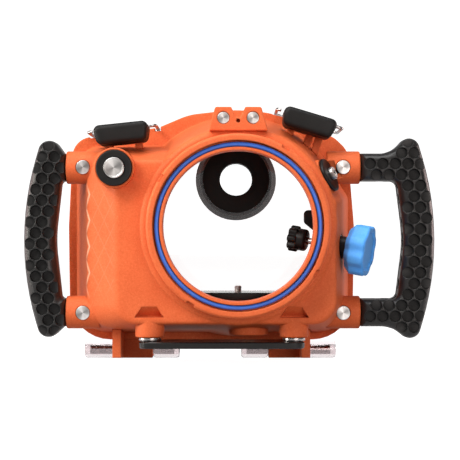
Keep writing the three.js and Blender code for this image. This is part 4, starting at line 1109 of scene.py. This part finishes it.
def zoom_pieces():
    gland = [(shaft_room, -16), (5.6, -16), (5.6, 2), (8.6, 2), (8.6, gland_proud), (shaft_room, gland_proud)]
    finished(turned("gland_body", gland, zoom_axis, 56, 0.5, 3, True), "black", "zoom_gland")
    finished(hoop("gland_washer", 5.9, 9.6, fit, 1.7, zoom_axis, 56, 0.3), "turned", "gland_ring")
    start = gland_proud + fit
    end = start + knob_height
    knob = [(0, start), (16.2, start), (knob_radius, start + 4.8), (knob_radius, end - 1.2),
            (knob_radius - 1.2, end), (16.6, end), (15.8, end - 1.4), (0, end - 1.5)]
    cap = turned("zoom_knob_cap", knob, zoom_axis, 224, 0.8, wave=knob_wave)
    carved(cap, disc("knob_bore", shaft_room, start - over, end - 3, zoom_axis, 32))
    finished(cap, "knob", "zoom_knob", "zoom_control")
    wheel = disc("zoom_wheel_body", wheel_radius, wheel_far, wheel_far + wheel_height, zoom_axis, 192, 1.2,
                 wave=wheel_wave)
    joined(wheel, disc("wheel_hub", 8.9, wheel_far + 5.5, wheel_near, zoom_axis, 64, 2))
    carved(wheel, disc("wheel_bore", shaft_room, wheel_far - over, wheel_near + over, zoom_axis, 24))
    finished(wheel, "black", "zoom_wheel", "zoom_control")
    spindle = disc("zoom_spindle", shaft_radius, wheel_far - 1.2, end - 3.3, zoom_axis, 32, 0.4)
    finished(spindle, "steel", "zoom_shaft", "zoom_control")


def stay_arm():
    """The black arm above the inner wheel, cut off at the inside of the shell."""
    line = [(53.8, 2.8, 3.6), (89, -25.6, 0.3), (89, -18.4, 0.3), (64.2, 13.2, 3.6), (53.8, 13.2, 3.6)]
    return kept_inside(slab("stay_arm", line, -44, -38, 0.9), hollow("stay_limit", wall + fit))


# Under the shell

plate_top, plate_thick, plate_edge, plate_corner = -91.6, 5.4, 0.8, 9
plate_left, plate_right, plate_half = -78.6, 52.6, 18


def plate_pieces():
    middle = face_y + foot_radius
    line = oblong((plate_left, -plate_half), (plate_right, plate_half), plate_corner)
    levels = ((plate_edge, plate_thick), (0, plate_thick - plate_edge), (0, plate_edge), (plate_edge, 0))
    rings = [[Vector((p.x, middle + p.y, plate_top - drop)) for p in outline(line, inset, 8)]
             for inset, drop in levels]
    plate = skinned("plate", rings)
    for sign in side_signs.values():
        axis = foot_axis(sign, plate_top)
        carved(plate, disc("plate_hole", plate_screw_room, -plate_thick - over, over, axis, 32),
               disc("plate_sink", 5.3, -plate_thick - over, -2.4, axis, 40))
    finished(plate, "anodised", "base_plate")
    for side, sign in side_signs.items():
        washer = hoop(f"foot_ring_{side}", plate_screw_room, 9, fit, 2.7, foot_axis(sign, plate_top), 56, 0.3)
        finished(washer, "steel", f"foot_washer_{side}")
        seat, way = foot_axis(sign, plate_top - 2.7)
        screw = headed_screw(f"plate_screw_{side}", 5, 2.7, 2.6, 18.5, (seat, -way))
        finished(screw, "turned", f"base_screw_{side}")


tray_half, tray_top, tray_thick, tray_lip, tray_corner = 32, -53.7, 5, 9, 1.2
tray_axis = ((0, -44, tray_top), up_way)


def tray_pieces():
    sheet, lip = (oblong((-tray_half, tray_top - deep), (tray_half, tray_top), tray_corner)
                  for deep in (tray_thick, tray_lip))
    plate = joined(slab("tray_sheet", sheet, -62, -10, 0.5, 3), slab("tray_lip", lip, -62, -59, 0.5, 3))
    carved(plate, disc("tray_hole", 3.4, -7, over, tray_axis, 32))
    finished(plate, "anodised", "tray_plate", "tray")
    pitch, crest, root, top, head = 1.27, 3.1, 2.6, 5.2, -5.3
    profile = [(0, head - 5), (8.5, head - 5), (8.5, head), (crest, head)]
    height = head + pitch
    while height < top - 1:
        profile += [(crest, height), (root, height + pitch / 2)]
        height += pitch
    profile += [(crest, top - 0.6), (2.5, top), (0, top)]
    finished(turned("camera_screw_body", profile, tray_axis), "turned", "tray_screw", "camera_screw")


# Camera, lamps, floor and backdrop, in metres

# Place, size, power and tint of each lamp
lamps = {
    "key": ((-1.15, -1.15, 1.35), (1.0, 1.0), 39, (1, 0.98, 0.93)),
    "top": ((0.0, -0.35, 1.5), (0.9, 0.6), 14, (1, 1, 1)),
    "front": ((1.0, -2.2, 0.5), (1.2, 0.8), 21, (1, 0.88, 0.82)),
    "left_box": ((-1.5, -0.3, 0.2), (0.5, 0.8), 18, (1, 0.95, 0.86)),
    "left_rim": ((-1.3, 0.45, 0.25), (0.5, 0.5), 6, (1, 0.78, 0.74)),
    "right_rim": ((1.3, 0.45, 0.25), (0.5, 0.5), 9, (1, 0.78, 0.74)),
}
lamp_target = Vector((0, 0, 0.1))
paper_reach, air_glow = 6, 0.16


def place_camera():
    data = bpy.data.cameras.new("viewpoint")
    data.sensor_width = 36
    data.lens = 130.43
    viewpoint = linked("viewpoint", data)
    viewpoint.location = (0.0006, -1.3643, 0.1079)
    viewpoint.rotation_euler = (math.radians(90), 0, 0)
    bpy.context.scene.camera = viewpoint


def place_lamp(name, place, size, power, tint):
    data = bpy.data.lights.new(name, "AREA")
    data.shape = "RECTANGLE"
    data.size, data.size_y = size
    data.energy = power
    data.color = tint
    lamp = linked(name, data)
    lamp.location = place
    lamp.rotation_euler = (lamp_target - Vector(place)).to_track_quat("-Z", "Y").to_euler()


def place_paper(name, corners, finish):
    data = bpy.data.meshes.new(name)
    data.from_pydata(corners, [], [(0, 1, 2, 3)])
    data.materials.append(finish.material)
    made = linked(name, data)


def studio():
    reach, front = paper_reach, -paper_reach / 2
    floor = oblong((-reach, front), (reach, reach))
    backdrop = [(x, reach, z) for x, z, _ in oblong((-reach, 0), (reach, reach))]
    place_paper("floor", floor, paper_white("floor_paper", 0.97, 0.25))
    place_paper("backdrop", backdrop, paper_white("backdrop_paper", 1.0, 0.82))
    air = Finish("studio_air", kind=bpy.data.worlds)
    glow = air.spread(air.rays()[0], 0, 1, air_glow, 1)
    air.end(air.node("ShaderNodeBackground", Color=grey(1), Strength=glow), "ShaderNodeOutputWorld")
    bpy.context.scene.world = air.material
    for name, lamp in lamps.items():
        place_lamp(name, *lamp)


# Putting it together

place_camera()
finished(shell_moulding(), "shell", "body_shell", angle=28)
finished(port_ring(), "blue_seal", "port_o_ring")
finished(clear_door(), "clear", "rear_door", "door", angle=28)
eyepiece_pieces()
hinge_rods()
for side, which in latch_sets.items():
    finished(lever_cover(side, which), "lever", f"latch_lever_{side}", f"lever_{side}")
    finished(latch_bail(side, which), "steel", f"latch_bail_{side}", f"bail_{side}")
for side in grips:
    grip = joined(grip_piece(side), *grip_spigots(side))
    finished(grip, "grip", f"handle_{side}", angle=24)
shell_screws()
shutter_pieces()
plug_pieces()
zoom_pieces()
finished(stay_arm(), "black", "shaft_stay")
plate_pieces()
tray_pieces()
dressed("black_seal", "door_gasket", "shutter_o_ring")
dressed("steel", "latch_pin_left", "latch_pin_right", "shutter_spring", "shutter_clip", "zoom_clip")
dressed("black", "plug_nut", "tray_rail_left", "tray_rail_right")
dressed("brass", "tripod_insert")
studio()
bpy.context.scene.view_settings.view_transform = "Standard"
